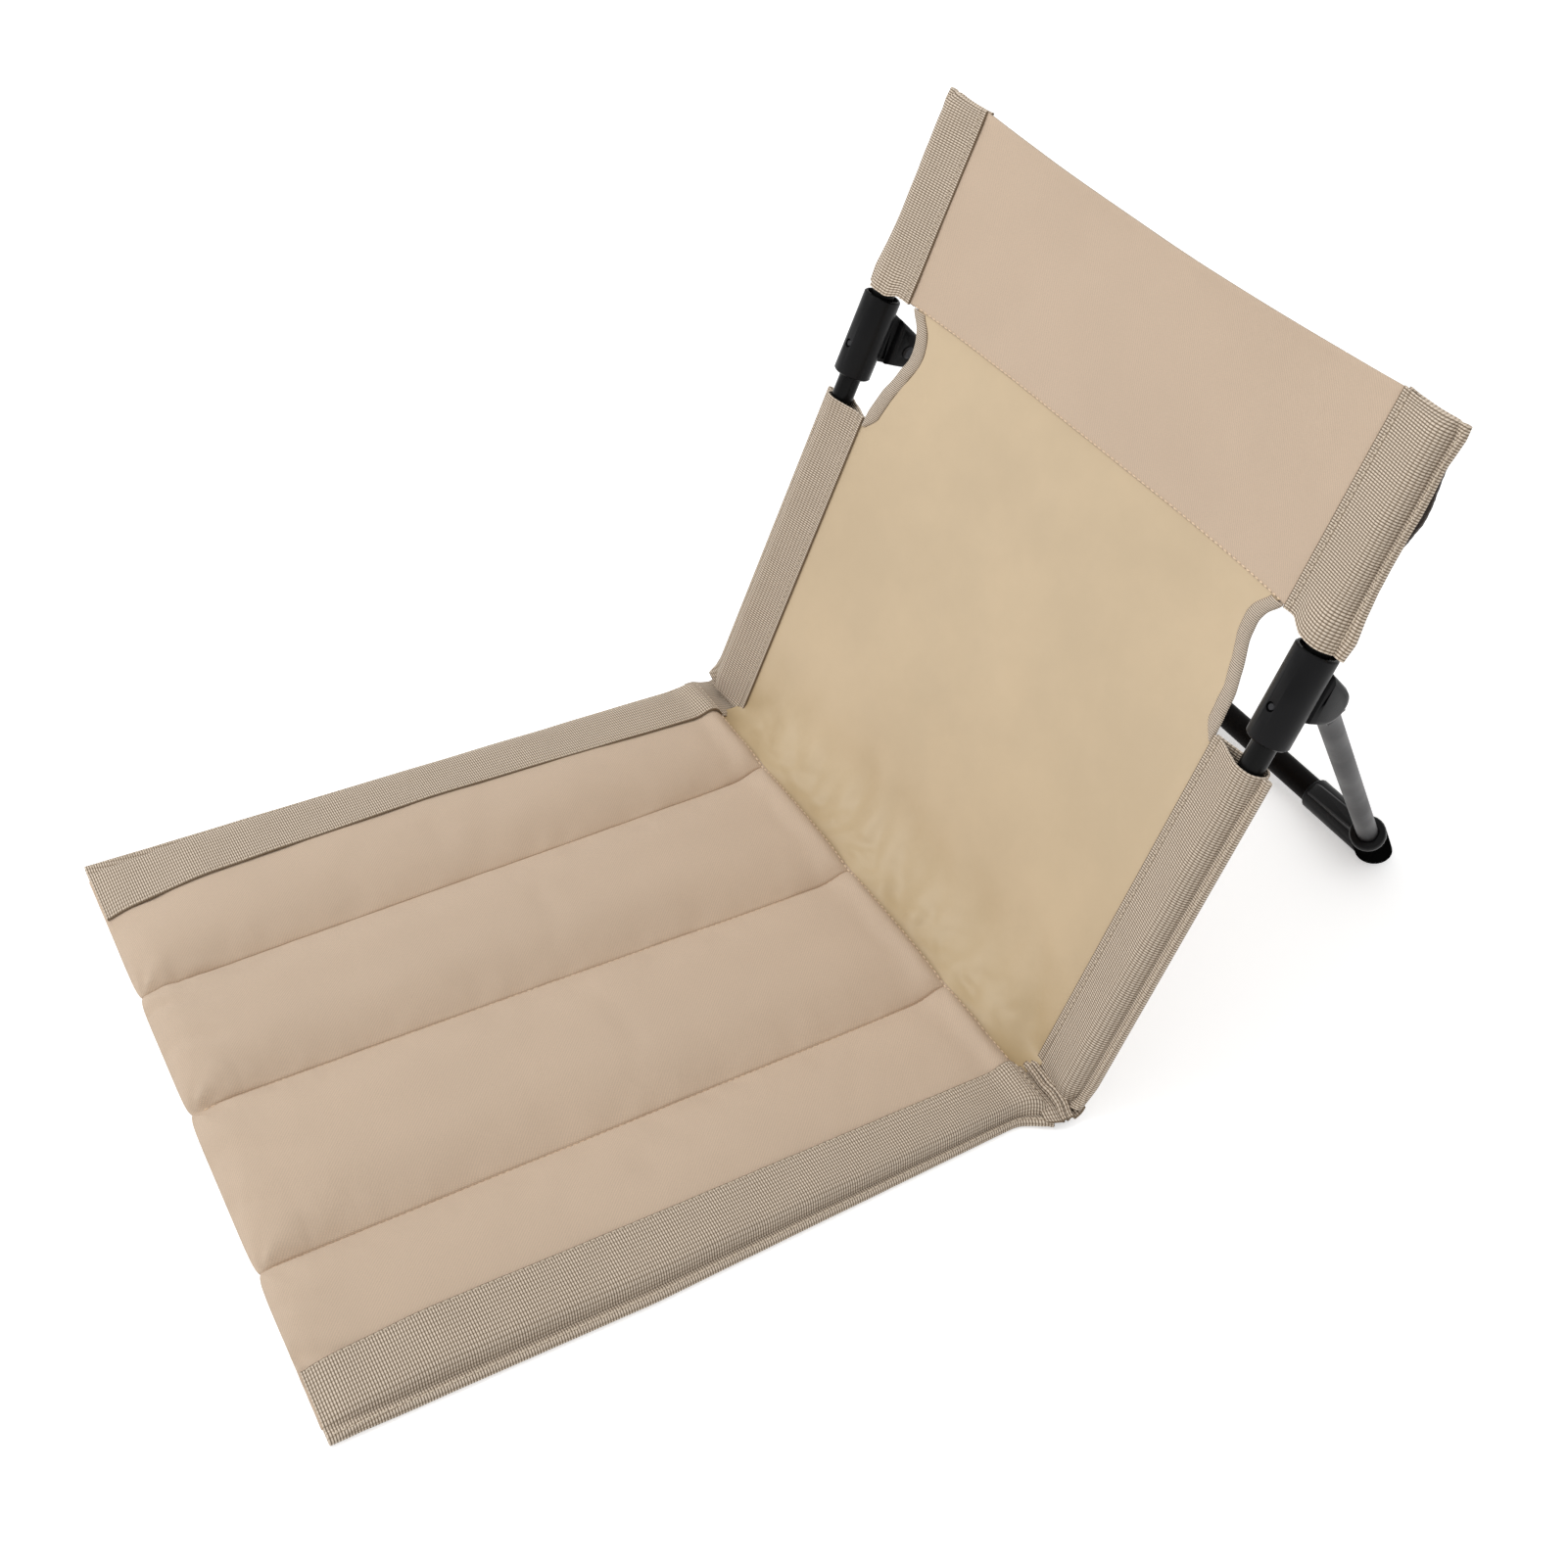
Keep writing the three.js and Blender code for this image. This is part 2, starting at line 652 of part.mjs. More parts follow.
// The slot between the cheeks: round the tongue, and the fan that the neck swings through.
function clevisSlot() {
  const width = tongueThickness + 2 * fitGap;
  const length = headRadius + cutOverrun;
  const room = tongueDiameter / 2 + swingGap;
  const ring = new THREE.Shape(arc(pivotBehind, pivotUp, room, 0, 2 * Math.PI, plainSteps).slice(1));
  const swing = [foldedDirection.angle(), openDirection.angle()];
  const fan = new THREE.Shape([
    new THREE.Vector2(pivotBehind, pivotUp),
    ...arc(pivotBehind, pivotUp, length, ...swing, flankSteps),
  ]);
  const shapes = [ring, fan, slotArm(openDirection, length), slotArm(foldedDirection, length)];
  return shapes.map((shape) => acrossBack(shape, width, pivotX, 0));
}

// The lightening pocket: a triangle in the web, in front of the head.
function webPocket() {
  const near = bracketDiameter / 2 + pocketMargin;
  const far = pivotBehind - headRadius - pocketMargin / 2;
  const low = webBottom + pocketMargin;
  const outline = new THREE.Shape();
  outline.moveTo(near - pocketMargin, low);
  outline.lineTo(far, low);
  outline.lineTo(far, low + pocketMargin);
  outline.lineTo(near - pocketMargin, pivotUp + headRadius - pocketMargin);
  return acrossBack(outline, pocketDepth + cutOverrun, 0, 0);
}

function hingeBracket() {
  const top = bracketBottom + bracketLength;
  const outside = bracketDiameter / 2;
  const bore = uprightRadius + fitGap;
  const mouth = bracketMouthDiameter / 2;
  const profile = [
    [bore, bracketBottom],
    [outside - bracketEdge, bracketBottom],
    [outside, bracketBottom + bracketEdge],
    [outside, top - bracketEdge],
    [outside - bracketEdge, top],
    [mouth, top],
    [mouth, top - bracketMouthDepth],
    [bore, top - bracketMouthDepth],
    [bore, bracketBottom],
  ];
  const sleeve = turned(profile, fineSteps).translate(uprightX, 0, 0);
  const insideSleeve = rod(
    new THREE.Vector3(uprightX, bracketBottom - cutOverrun, 0),
    new THREE.Vector3(uprightX, top + cutOverrun, 0),
    (bore + outside) / 2,
    fineSteps,
  );
  const web = acrossBack(webOutline(0), webWidth, (uprightX + pivotX) / 2, webRounding);
  const headStart = pivotBehind - headRadius;
  const head = acrossBack(webOutline(headStart), headWidth, pivotX, headRounding);
  const arm = cut(joined([web, head]), [insideSleeve, ...clevisSlot()]);
  const webCentre = (uprightX + pivotX) / 2;
  const pocketShift = (webWidth + cutOverrun - pocketDepth) / 2;
  const pockets = [-1, 1].map((side) => webPocket().translate(webCentre + side * pocketShift, 0, 0));
  const pinHole = rod(
    new THREE.Vector3(pivotX - headWidth, pivotUp, -pivotBehind),
    new THREE.Vector3(pivotX + headWidth / 2 - pinBlindWall, pivotUp, -pivotBehind),
    pinDiameter / 2 + runningGap,
    plainSteps,
  );
  const rivetSeat = bracketDiameter / 2 - rivetRecess - rivetHeadHeight - fitGap;
  const holes = [
    rivetHole(rivetShankDiameter / 2 + fitGap, 0, bracketDiameter),
    rivetHole(rivetDiameter / 2 + fitGap, rivetSeat, bracketDiameter),
  ];
  return geometryOf(cut(cut(arm, pockets).add(solidOf(sleeve)), [pinHole, ...holes]));
}

function pivotPin() {
  const inner = pivotX - headWidth / 2 - fitGap;
  const length = headWidth + fitGap - pinBlindWall - fitGap;
  const radius = pinDiameter / 2;
  const head = pinHeadDiameter / 2;
  const profile = [
    [0, -pinHeadHeight],
    [head * headFlatShare, -pinHeadHeight],
    [head, -pinHeadHeight / 3],
    [head, 0],
    [radius, 0],
    [radius, length],
    [0, length],
  ];
  return turned(profile, plainSteps).rotateZ(-Math.PI / 2).translate(inner, pivotUp, -pivotBehind);
}

placePair(back, "hinge_bracket", hingeBracket(), materials.plastic);
placePair(back, "leg_pivot_pin", pivotPin(), materials.steel);

// Back cloth

const seamUp = -hingeForward * upDirection.x + hingeHeight * upDirection.y;
const seamBehind = -hingeForward * behindDirection.x + hingeHeight * behindDirection.y;
const cornerReach = cornerBend - seamUp;

// The line of the cloth seen from the side, from the hinge seam into the plane of the uprights.
const cornerLine = new THREE.QuadraticBezierCurve(
  new THREE.Vector2(seamBehind + seamRadius + clothThickness / 2, seamUp),
  new THREE.Vector2(0, seamUp),
  new THREE.Vector2(0, cornerBend),
);

// A spot on that line: how far up and behind it is, and which way the cloth faces there.
function clothLine(up) {
  if (up >= cornerBend) return { up, behind: 0, facing: new THREE.Vector2(-1, 0) };
  const share = (up - seamUp) / cornerReach;
  const spot = cornerLine.getPoint(share);
  const way = cornerLine.getTangent(share);
  return { up: spot.y, behind: spot.x, facing: new THREE.Vector2(-way.y, way.x) };
}

function sagAt(across, up) {
  const height = Math.sin(Math.PI * THREE.MathUtils.clamp(up / backHeight, 0, 1));
  const beside = THREE.MathUtils.clamp(cutoutShare(up), 0, 1);
  const hang = cutoutHang * Math.sin(Math.PI * beside) ** 2 * across * across;
  return backSag * (1 - across ** 4) * Math.sqrt(height) + hang;
}

function rippleAt(across, up) {
  const fade = smooth((up - seamUp) / cornerBend) * (1 - smooth((up - cornerBend) / rippleReach));
  return rippleHeight * fade * Math.cos(rippleCount * Math.PI * across) * (1 - across * across);
}

// A point of the cloth's surface, at a share across from -1 to 1, pushed out along its facing.
function clothPoint(across, x, up, push) {
  const line = clothLine(up);
  const settled = sagAt(across, up) * smooth((up - seamUp) / (2 * cornerBend));
  const behind = line.behind - line.facing.x * (rippleAt(across, up) - push) + settled;
  return new THREE.Vector3(x, line.up + line.facing.y * push, -behind);
}

const cutoutShape = new THREE.SplineCurve(
  cutoutDepthShares.map((share, i) => new THREE.Vector2(i / (cutoutDepthShares.length - 1), share)),
);

function cutoutShare(up) {
  return (up - lowerSleeveTop) / (upperSleeveBottom - lowerSleeveTop);
}

// How far a cut-out reaches in from the sleeve at a height, and how far its binding does.
function openingDepth(up) {
  return cutoutDepth * cutoutShape.getPoint(THREE.MathUtils.clamp(cutoutShare(up), 0, 1)).y;
}

function bindingDepth(up) {
  const start = lowerSleeveTop - bindingWidth;
  return openingDepth(up) + bindingWidth * smooth((up - start) / (bindingStartWidths * bindingWidth));
}

// Rows up the back panel; those beside the cut-outs are shared with the bindings.
const panelTop = upperSleeveBottom - fitGap;
const bindingHeights = spaced(lowerSleeveTop - bindingWidth / 2, panelTop, cutoutRows, evenly);
const panelHeights = [
  ...spaced(seamUp, cornerBend, cornerRows, evenly).slice(0, -1),
  ...spaced(cornerBend, bindingHeights[0], plainRows, toStart).slice(0, -1),
  ...bindingHeights,
];

// A cloth between its two faces, from a surface that is given how far to stand out.
function cloth(columns, rows, thickness, surface) {
  const half = thickness / 2;
  return closedSheet(columns, rows, (i, j) => surface(i, j, half), (i, j) => surface(i, j, -half));
}

function backPanel() {
  const surface = (i, j, push) => {
    const up = panelHeights[j];
    const edge = webbingEdge - 2 * fitGap - bindingDepth(up);
    const x = THREE.MathUtils.lerp(-edge, edge, i / panelColumns);
    return clothPoint(x / webbingEdge, x, up, push);
  };
  return cloth(panelColumns, panelHeights.length - 1, clothThickness, surface);
}

function headband() {
  const surface = (i, j, push) => {
    const across = (2 * i) / panelColumns - 1;
    const top = backHeight - headbandDip * (1 - across * across);
    const up = THREE.MathUtils.lerp(upperSleeveBottom, top, j / headbandRows);
    return clothPoint(across, across * (webbingEdge - fitGap), up, push);
  };
  return cloth(panelColumns, headbandRows, headbandThickness, surface);
}

// Webbing folded over the raw edge of a cut-out.
function cutoutBinding() {
  const surface = (i, j, push) => {
    const up = bindingHeights[j];
    const share = i / bindingColumns;
    const depth = THREE.MathUtils.lerp(openingDepth(up), bindingDepth(up) - fitGap, share);
    const x = webbingEdge - fitGap - depth;
    const swell = Math.sqrt(1 - bindingFlatness * (2 * share - 1) * (2 * share - 1));
    return clothPoint(x / webbingEdge, x, up, push * swell);
  };
  return cloth(bindingColumns, cutoutRows, bindingThickness, surface);
}

// A sleeve's section round the upright: flat stitched edges with the tube's bulge between them.
const pocketRadius = uprightRadius + sleeveSlack;
const sleeveRadius = pocketRadius + webbingThickness;
const flankStart = sleeveRadius * Math.SQRT1_2;
const flankCrease = halfWidth - 2 * webbingThickness;

// The rear flank, from the bulge down to the flat edge, drawn across and behind the upright.
const rearFlank = new THREE.QuadraticBezierCurve(
  new THREE.Vector2(uprightX + flankStart, flankStart),
  new THREE.Vector2((uprightX + sleeveRadius + flankCrease) / 2, webbingThickness),
  new THREE.Vector2(flankCrease, webbingThickness),
);

function sleeveOutline() {
  const lean = Math.asin((sleeveRadius - webbingThickness) / (uprightX - webbingEdge));
  const rear = [
    new THREE.Vector2(webbingEdge, webbingThickness),
    ...arc(uprightX, 0, sleeveRadius, Math.PI / 2 + lean, Math.PI / 4, smallSteps / 2),
    ...rearFlank.getPoints(flankSteps).slice(1),
    new THREE.Vector2(halfWidth, webbingThickness),
  ];
  const front = rear.toReversed().map((point) => new THREE.Vector2(point.x, -point.y));
  return new THREE.Shape([...rear, ...front]);
}

// The pocket runs from the inner seam round the upright.
function pocketOutline() {
  const seam = webbingEdge + sleeveSeamWidth;
  const lean = Math.asin(pocketRadius / (uprightX - seam));
  const turn = Math.PI / 2 + lean;
  return new THREE.Shape([
    new THREE.Vector2(seam, 0),
    ...arc(uprightX, 0, pocketRadius, turn, -turn, smallSteps),
  ]);
}

function sleeve(bottom, top, pocketBottom, pocketTop) {
  const folded = solidOf(upBack(sleeveOutline(), bottom, top));
  return cut(folded, [upBack(pocketOutline(), pocketBottom, pocketTop)]);
}

function lowerSleeve() {
  const floor = uprightFootEnd - plugHeadHeight - 2 * fitGap;
  const folded = sleeve(sleeveFoot, lowerSleeveTop, floor, lowerSleeveTop + cutOverrun);
  return geometryOf(cut(folded, [underFloor(back)]));
}

function upperSleeve() {
  const ceiling = Math.min(uprightTop + plugHeadHeight + 2 * fitGap, backHeight - pocketFloor);
  return geometryOf(sleeve(upperSleeveBottom, backHeight, upperSleeveBottom - cutOverrun, ceiling));
}

// Hook-and-loop strip on the rear flank of the upper sleeve.
function hookStrip() {
  const top = backHeight - pocketFloor;
  const length = headbandHeight * stripLengthShare;
  const spots = spaced(0, 1, flankSteps, evenly);
  const away = (share, distance) => {
    const way = rearFlank.getTangent(share);
    return rearFlank.getPoint(share).add(new THREE.Vector2(-way.y, way.x).multiplyScalar(distance));
  };
  const near = spots.map((share) => away(share, fitGap));
  const far = spots.map((share) => away(share, fitGap + stripThickness));
  near.push(new THREE.Vector2(halfWidth, near.at(-1).y));
  far.push(new THREE.Vector2(halfWidth, far.at(-1).y));
  return upBack(new THREE.Shape([...near, ...far.toReversed()]), top - length, top);
}

// The webbing's end, turned out of the corner towards the hinge seam in front of the sleeve.
function cornerTab() {
  const front = sleeveRadius + fitGap + webbingThickness / 2;
  const line = new THREE.QuadraticBezierCurve(
    new THREE.Vector2(seamBehind + seamRadius + webbingThickness / 2 + fitGap, seamUp),
    new THREE.Vector2(-front, seamUp),
    new THREE.Vector2(-front, cornerBend),
  );
  const surface = (i, j, push) => {
    const spot = line.getPoint(j / tabRows);
    const way = line.getTangent(j / tabRows);
    const x = i ? halfWidth : webbingEdge + fitGap;
    return new THREE.Vector3(x, spot.y + way.x * push, -spot.x + way.y * push);
  };
  return cloth(1, tabRows, webbingThickness, surface);
}

place(back, "back_panel", backPanel(), materials.coated);
place(back, "headband", headband(), materials.oxford);
placePair(back, "cutout_binding", cutoutBinding(), materials.webbing);
placePair(back, "lower_sleeve", lowerSleeve(), materials.webbing);
placePair(back, "upper_sleeve", upperSleeve(), materials.webbing);
placePair(back, "hook_and_loop_strip", hookStrip(), materials.hook);
placePair(back, "corner_tab", cornerTab(), materials.webbing);

// Leg frame

// A turned body along the right leg, from a profile of [radius, distance from the pivot] pairs.
function onLegAxis(profile, steps) {
  return along(turned(profile, steps), legTop, legFoot);
}

// Flattened end piece: a tongue round the pin, a neck, and a spigot inside the leg tube.
function legTongue() {
  const half = tongueThickness / 2;
  const eye = rod(
    new THREE.Vector3(pivotX - half, 0, 0),
    new THREE.Vector3(pivotX + half, 0, 0),
    tongueDiameter / 2,
    plainSteps,
  );
  const neck = new THREE.BoxGeometry(tongueThickness, tubeStart, neckWidth);
  neck.translate(pivotX, -tubeStart / 2, 0);
  const spigot = legTubeDiameter / 2 - legTubeWall - fitGap;
  const shoulder = onLegAxis(
    [
      [0, tubeStart - fitGap - shoulderHeight],
      [legTubeDiameter / 2, tubeStart - fitGap - shoulderHeight],
      [legTubeDiameter / 2, tubeStart - fitGap],
      [spigot, tubeStart - fitGap],
      [spigot, tubeStart + spigotLength],
      [0, tubeStart + spigotLength],
    ],
    plainSteps,
  );
  const beyond = new THREE.BoxGeometry(legTubeDiameter * 2, legTubeDiameter, legTubeDiameter * 2);
  beyond.translate(0, tubeStart - fitGap + legTubeDiameter / 2, 0);
  along(beyond, legTop, legFoot);
  const pinHole = rod(
    new THREE.Vector3(pivotX - headWidth, 0, 0),
    new THREE.Vector3(pivotX + headWidth, 0, 0),
    pinDiameter / 2 + runningGap,
    plainSteps,
  );
  const end = cut(joined([eye, neck]), [beyond, pinHole]);
  return geometryOf(end.add(solidOf(shoulder)));
}

function legTube() {
  const from = onLeg(tubeStart);
  const to = onLeg(legLength - tubeEnd);
  return pipe(from, to, legTubeDiameter / 2, legTubeDiameter / 2 - legTubeWall, plainSteps);
}

// The wedge between the arm and the collar, drawn in the plane of the leg frame.
function gusset(growth) {
  const armTop = -crossbarDrop + armDiameter / 2;
  const inner = crossbarEnd.x - armLength + armChamfer;
  const head = onLeg(legLength - collarHeight + collarDome);
  const outline = new THREE.Shape();
  outline.moveTo(inner, -crossbarDrop);
  outline.lineTo(inner, armTop - armChamfer);
  outline.lineTo(inner + gussetRise, armTop + gussetRise / 2);
  outline.lineTo(head.x - footDiameter / 4, head.y);
  outline.lineTo(crossbarEnd.x, -crossbarDrop);
  return new THREE.ExtrudeGeometry(outline, {
    depth: gussetThickness - 2 * gussetChamfer + 2 * growth,
    bevelEnabled: true,
    bevelThickness: gussetChamfer,
    bevelSize: gussetChamfer,
    bevelOffset: growth - gussetChamfer,
    bevelSegments: 1,
  }).translate(0, 0, gussetChamfer - gussetThickness / 2 - growth);
}

// What the rubber fits round: the arm, the gusset and the core, grown on every side.
function connectorInside(growth) {
  const radius = armDiameter / 2 + growth;
  const length = armLength + growth;
  const arm = turned(
    [
      [0, 0],
      [radius - armChamfer, 0],
      [radius, armChamfer],
      [radius, length],
      [0, length],
    ],
    fineSteps,
  );
  arm.rotateZ(-Math.PI / 2).translate(crossbarEnd.x - length, -crossbarDrop, 0);
  const core = onLegAxis(
    [
      [0, legLength - capHeight],
      [coreDiameter / 2 + growth, legLength - capHeight],
      [coreDiameter / 2 + growth, legLength - coreEnd + growth],
      [0, legLength - coreEnd + growth],
    ],
    plainSteps,
  );
  return joined([arm, gusset(growth), core]);
}

function cornerConnector() {
  const top = legLength - collarHeight;
  const radius = footDiameter / 2;
  const collar = onLegAxis(
    [
      [0, top],
      [collarMouth / 2, top],
      [radius - collarDome * domeEdgeShares[0], top + collarDome * domeEdgeShares[1]],
      [radius, top + collarDome],
      [radius, legLength - capHeight],
      [0, legLength - capHeight],
    ],
    fineSteps,
  );
  const tubeBore = onLegAxis(
    [
      [0, top - cutOverrun],
      [legTubeDiameter / 2 + fitGap / 2, top - cutOverrun],
      [legTubeDiameter / 2 + fitGap / 2, legLength - tubeEnd + fitGap],
      [0, legLength - tubeEnd + fitGap],
    ],
    plainSteps,
  );
  const barBore = rod(
    new THREE.Vector3(crossbarEnd.x - armLength - cutOverrun, -crossbarDrop, 0),
    new THREE.Vector3(crossbarEnd.x - crossbarSeat + fitGap, -crossbarDrop, 0),
    crossbarDiameter / 2 + fitGap / 2,
    plainSteps,
  );
  return geometryOf(cut(connectorInside(0).add(solidOf(collar)), [tubeBore, barBore]));
}

// A rubber boot round the collar's core, open where the arm comes in and cut flat by the floor.
function footCap() {
  const boot = onLegAxis(
    [
      [0, legLength - capHeight + fitGap],
      [footDiameter / 2, legLength - capHeight + fitGap],
      [footDiameter / 2, legLength + footDiameter],
      [0, legLength + footDiameter],
    ],
    fineSteps,
  );
  return geometryOf(cut(solidOf(boot), [underFloor(legs)]).subtract(connectorInside(fitGap)));
}

function crossbar() {
  const half = crossbarEnd.x - crossbarSeat;
  const from = new THREE.Vector3(-half, -crossbarDrop, 0);
  const to = new THREE.Vector3(half, -crossbarDrop, 0);
  return pipe(from, to, crossbarDiameter / 2, crossbarDiameter / 2 - crossbarWall, plainSteps);
}

placePair(legs, "leg_tongue", legTongue(), materials.plastic);
placePair(legs, "leg_tube", legTube(), materials.greyTube);
placePair(legs, "corner_connector", cornerConnector(), materials.plastic);
placePair(legs, "foot_cap", footCap(), materials.rubber);
place(legs, "crossbar", crossbar(), materials.crossbar);

// The origin is on the floor, under the middle of the open chair.
chair.updateMatrixWorld(true);
const bounds = new THREE.Box3().setFromObject(chair, true);
chair.position.y = -(bounds.min.y + bounds.max.y) / 2;

export default root;
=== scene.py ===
import math
from random import Random

import bmesh
import bpy
from bpy.props import FloatProperty, FloatVectorProperty, IntProperty, PointerProperty
from mathutils import Matrix, Vector, noise
from mathutils.bvhtree import BVHTree


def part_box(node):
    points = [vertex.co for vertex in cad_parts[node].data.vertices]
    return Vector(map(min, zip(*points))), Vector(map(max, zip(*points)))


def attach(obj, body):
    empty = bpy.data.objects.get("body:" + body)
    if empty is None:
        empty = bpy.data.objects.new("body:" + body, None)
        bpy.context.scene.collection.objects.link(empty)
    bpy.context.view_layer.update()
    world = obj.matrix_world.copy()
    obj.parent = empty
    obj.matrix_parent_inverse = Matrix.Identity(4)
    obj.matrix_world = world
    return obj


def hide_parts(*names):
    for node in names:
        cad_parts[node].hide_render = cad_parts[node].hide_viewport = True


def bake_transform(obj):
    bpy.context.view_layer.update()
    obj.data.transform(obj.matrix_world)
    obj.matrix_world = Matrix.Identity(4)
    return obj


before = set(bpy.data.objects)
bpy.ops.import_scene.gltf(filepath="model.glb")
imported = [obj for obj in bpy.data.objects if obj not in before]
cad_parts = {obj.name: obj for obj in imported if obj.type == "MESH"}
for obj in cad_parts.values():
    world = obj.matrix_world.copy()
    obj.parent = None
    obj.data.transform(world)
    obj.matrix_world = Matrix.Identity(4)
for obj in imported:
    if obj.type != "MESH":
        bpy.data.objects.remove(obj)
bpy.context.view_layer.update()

bl_info = {
    "name": "Folding Floor Chair",
    "version": (1, 0, 0),
    "blender": (4, 5, 0),
    "location": "3D View > Sidebar > Floor Chair",
    "description": "Dresses the frame of a folding floor chair in cloth, webbing, tubes and fittings",
    "category": "Object",
}

MM = 0.001
SIDES = ((1, "right"), (-1, "left"))

# Places that come from the frame, in metres.
SEAM_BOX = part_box("hinge_seam")
SEAM_Y = (SEAM_BOX[0].y + SEAM_BOX[1].y) / 2
SEAM_Z = (SEAM_BOX[0].z + SEAM_BOX[1].z) / 2
HALF_WIDTH = SEAM_BOX[1].x
COVER_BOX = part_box("seat_cover")
MAT_FRONT = COVER_BOX[0].y
MAT_REAR = SEAM_Y + 0.0002
PAD_EDGE = COVER_BOX[1].x - 0.0025
UPRIGHT_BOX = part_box("upright_right")
UPRIGHT_X = (UPRIGHT_BOX[0].x + UPRIGHT_BOX[1].x) / 2

# The leaning back: its floor line, its directions, and heights and widths in its plane.
BACK_LEAN = math.radians(69.8)
SEAM_SETBACK = 0.014
BACK_FOOT = SEAM_Y + SEAM_SETBACK
UP = Vector((0, math.cos(BACK_LEAN), math.sin(BACK_LEAN)))
BEHIND = Vector((0, math.sin(BACK_LEAN), -math.cos(BACK_LEAN)))
SEAM_UP = -SEAM_SETBACK * UP.y + SEAM_Z * UP.z
SEAM_BEHIND = -SEAM_SETBACK * BEHIND.y + SEAM_Z * BEHIND.z
BACK_HEIGHT = 0.392
LOWER_MOUTH = 0.211
UPPER_MOUTH = 0.281
CLOTH_EDGE = 0.16
PANEL_TOP = UPPER_MOUTH + 0.006
SELVEDGE_ROW = 0.0039


# Settings


def length_setting(name, description, default):
    return FloatProperty(name=name, description=description, default=default, unit="LENGTH")


def power_setting(name, description, default):
    return FloatProperty(name=name, description=description, default=default, min=0)


def colour_setting(name, description, default):
    return FloatVectorProperty(
        name=name, description=description, default=default, size=3, min=0, max=1, subtype="COLOR"
    )


class ChairClothSettings(bpy.types.PropertyGroup):
    """Sizes of the cloth, webbing and stitching."""

    webbing_width: length_setting("Webbing Width", "Width of the folded webbing along every side", 0.04)
    webbing_thickness: length_setting("Webbing Thickness", "Thickness of one layer of webbing", 0.0012)
    cloth_thickness: length_setting("Cloth Thickness", "Thickness of one layer of cloth", 0.0007)
    pad_height: length_setting("Pad Height", "Height of the mat on the crown of a channel", 0.0145)
    channel_width: length_setting("Channel Width", "From one stitch line of the mat to the next", 0.0975)
    pucker: length_setting("Pucker", "Depth of the gathers beside the stitch lines", 0.0007)
    back_sag: length_setting("Back Sag", "How far the middle of the back cloth hangs", 0.009)
    stitch_pitch: length_setting("Stitch Pitch", "From one stitch to the next", 0.0036)
    thread_diameter: length_setting("Thread Diameter", "Diameter of the sewing thread", 0.00085)
    settling_steps: IntProperty(
        name="Settling Steps", description="Steps in which the cloth settles", default=20, min=1
    )


class ChairColourSettings(bpy.types.PropertyGroup):
    """Colours of the cloth, thread, tubes and fittings."""

    oxford: colour_setting("Oxford Cloth", "Mat and headband", (0.700, 0.541, 0.402))
    coated: colour_setting("Coated Cloth", "Inside of the back panel", (0.553, 0.431, 0.280))
    webbing: colour_setting("Webbing", "Webbing along the sides", (0.585, 0.494, 0.398))
    # The selvedge colour is painted shade: it darkens the webbing's edges, its needle rows and the gaps in
    # its weave.
    selvedge: colour_setting("Selvedge", "Edge of the webbing and gaps in its weave", (0.185, 0.130, 0.080))
    thread: colour_setting("Thread", "Sewing thread", (0.820, 0.630, 0.440))
    webbing_thread: colour_setting("Webbing Thread", "Sewing thread on the webbing", (0.620, 0.520, 0.400))
    hook: colour_setting("Hook Tape", "Hook-and-loop strips", (0.030, 0.018, 0.012))
    black_tube: colour_setting("Black Tube", "Uprights", (0.003, 0.003, 0.003))
    grey_tube: colour_setting("Grey Tube", "Leg tubes", (0.034, 0.033, 0.034))
    bar_tube: colour_setting("Crossbar Tube", "Crossbar between the legs", (0.0042, 0.0034, 0.0030))
    plastic: colour_setting("Black Plastic", "Brackets, connectors and plugs", (0.0040, 0.0040, 0.0045))
    rubber: colour_setting("Grey Rubber", "Foot caps", (0.0025, 0.0025, 0.0025))
    steel: colour_setting("Dark Steel", "Pivot pins and rivets", (0.040, 0.040, 0.043))
    floor: colour_setting("Floor", "Studio floor", (0.90, 0.90, 0.90))


class ChairStageSettings(bpy.types.PropertyGroup):
    """Studio floor and lamps."""

    floor_size: length_setting("Floor Size", "Side of the floor", 12.0)
    key_power: power_setting("Key Lamp", "Power of the main lamp", 30.0)
    fill_power: power_setting("Fill Lamp", "Power of the fill lamp", 2.2)
    sky_strength: power_setting("Sky", "Strength of the even light", 0.75)
    floor_glow: power_setting("Floor Glow", "Light the floor shows the camera", 0.45)


def cloth_settings():
    return bpy.context.scene.chair_cloth


def colour_settings():
    return bpy.context.scene.chair_colours


def stage_settings():
    return bpy.context.scene.chair_stage


# Shapes


def clamp(value, low=0.0, high=1.0):
    return max(low, min(high, value))


def smooth(value):
    value = clamp(value)
    return value * value * (3 - 2 * value)


def mix(a, b, share):
    return a + (b - a) * share


def to_ends(share):
    """A share moved so that evenly spaced ones lie closer together at both ends."""
    return (1 - math.cos(math.pi * share)) / 2


def level(places, values, at):
    """Value at a place, from a table of places in rising order with their values."""
    for number in range(1, len(places)):
        if at <= places[number] or number == len(places) - 1:
            share = clamp((at - places[number - 1]) / (places[number] - places[number - 1]))
            return mix(values[number - 1], values[number], share)


def on_back(x, up, behind):
    """A point in the leaning back: across, up from its floor line, and behind its plane."""
    return Vector((x, BACK_FOOT, 0)) + UP * up + BEHIND * behind


def soft_noise(place, size, seed):
    """Smooth noise between about -1 and 1, with bumps of a size."""
    return noise.noise(Vector(place) / size + Vector((seed, seed * 1.7, seed * 0.6)))


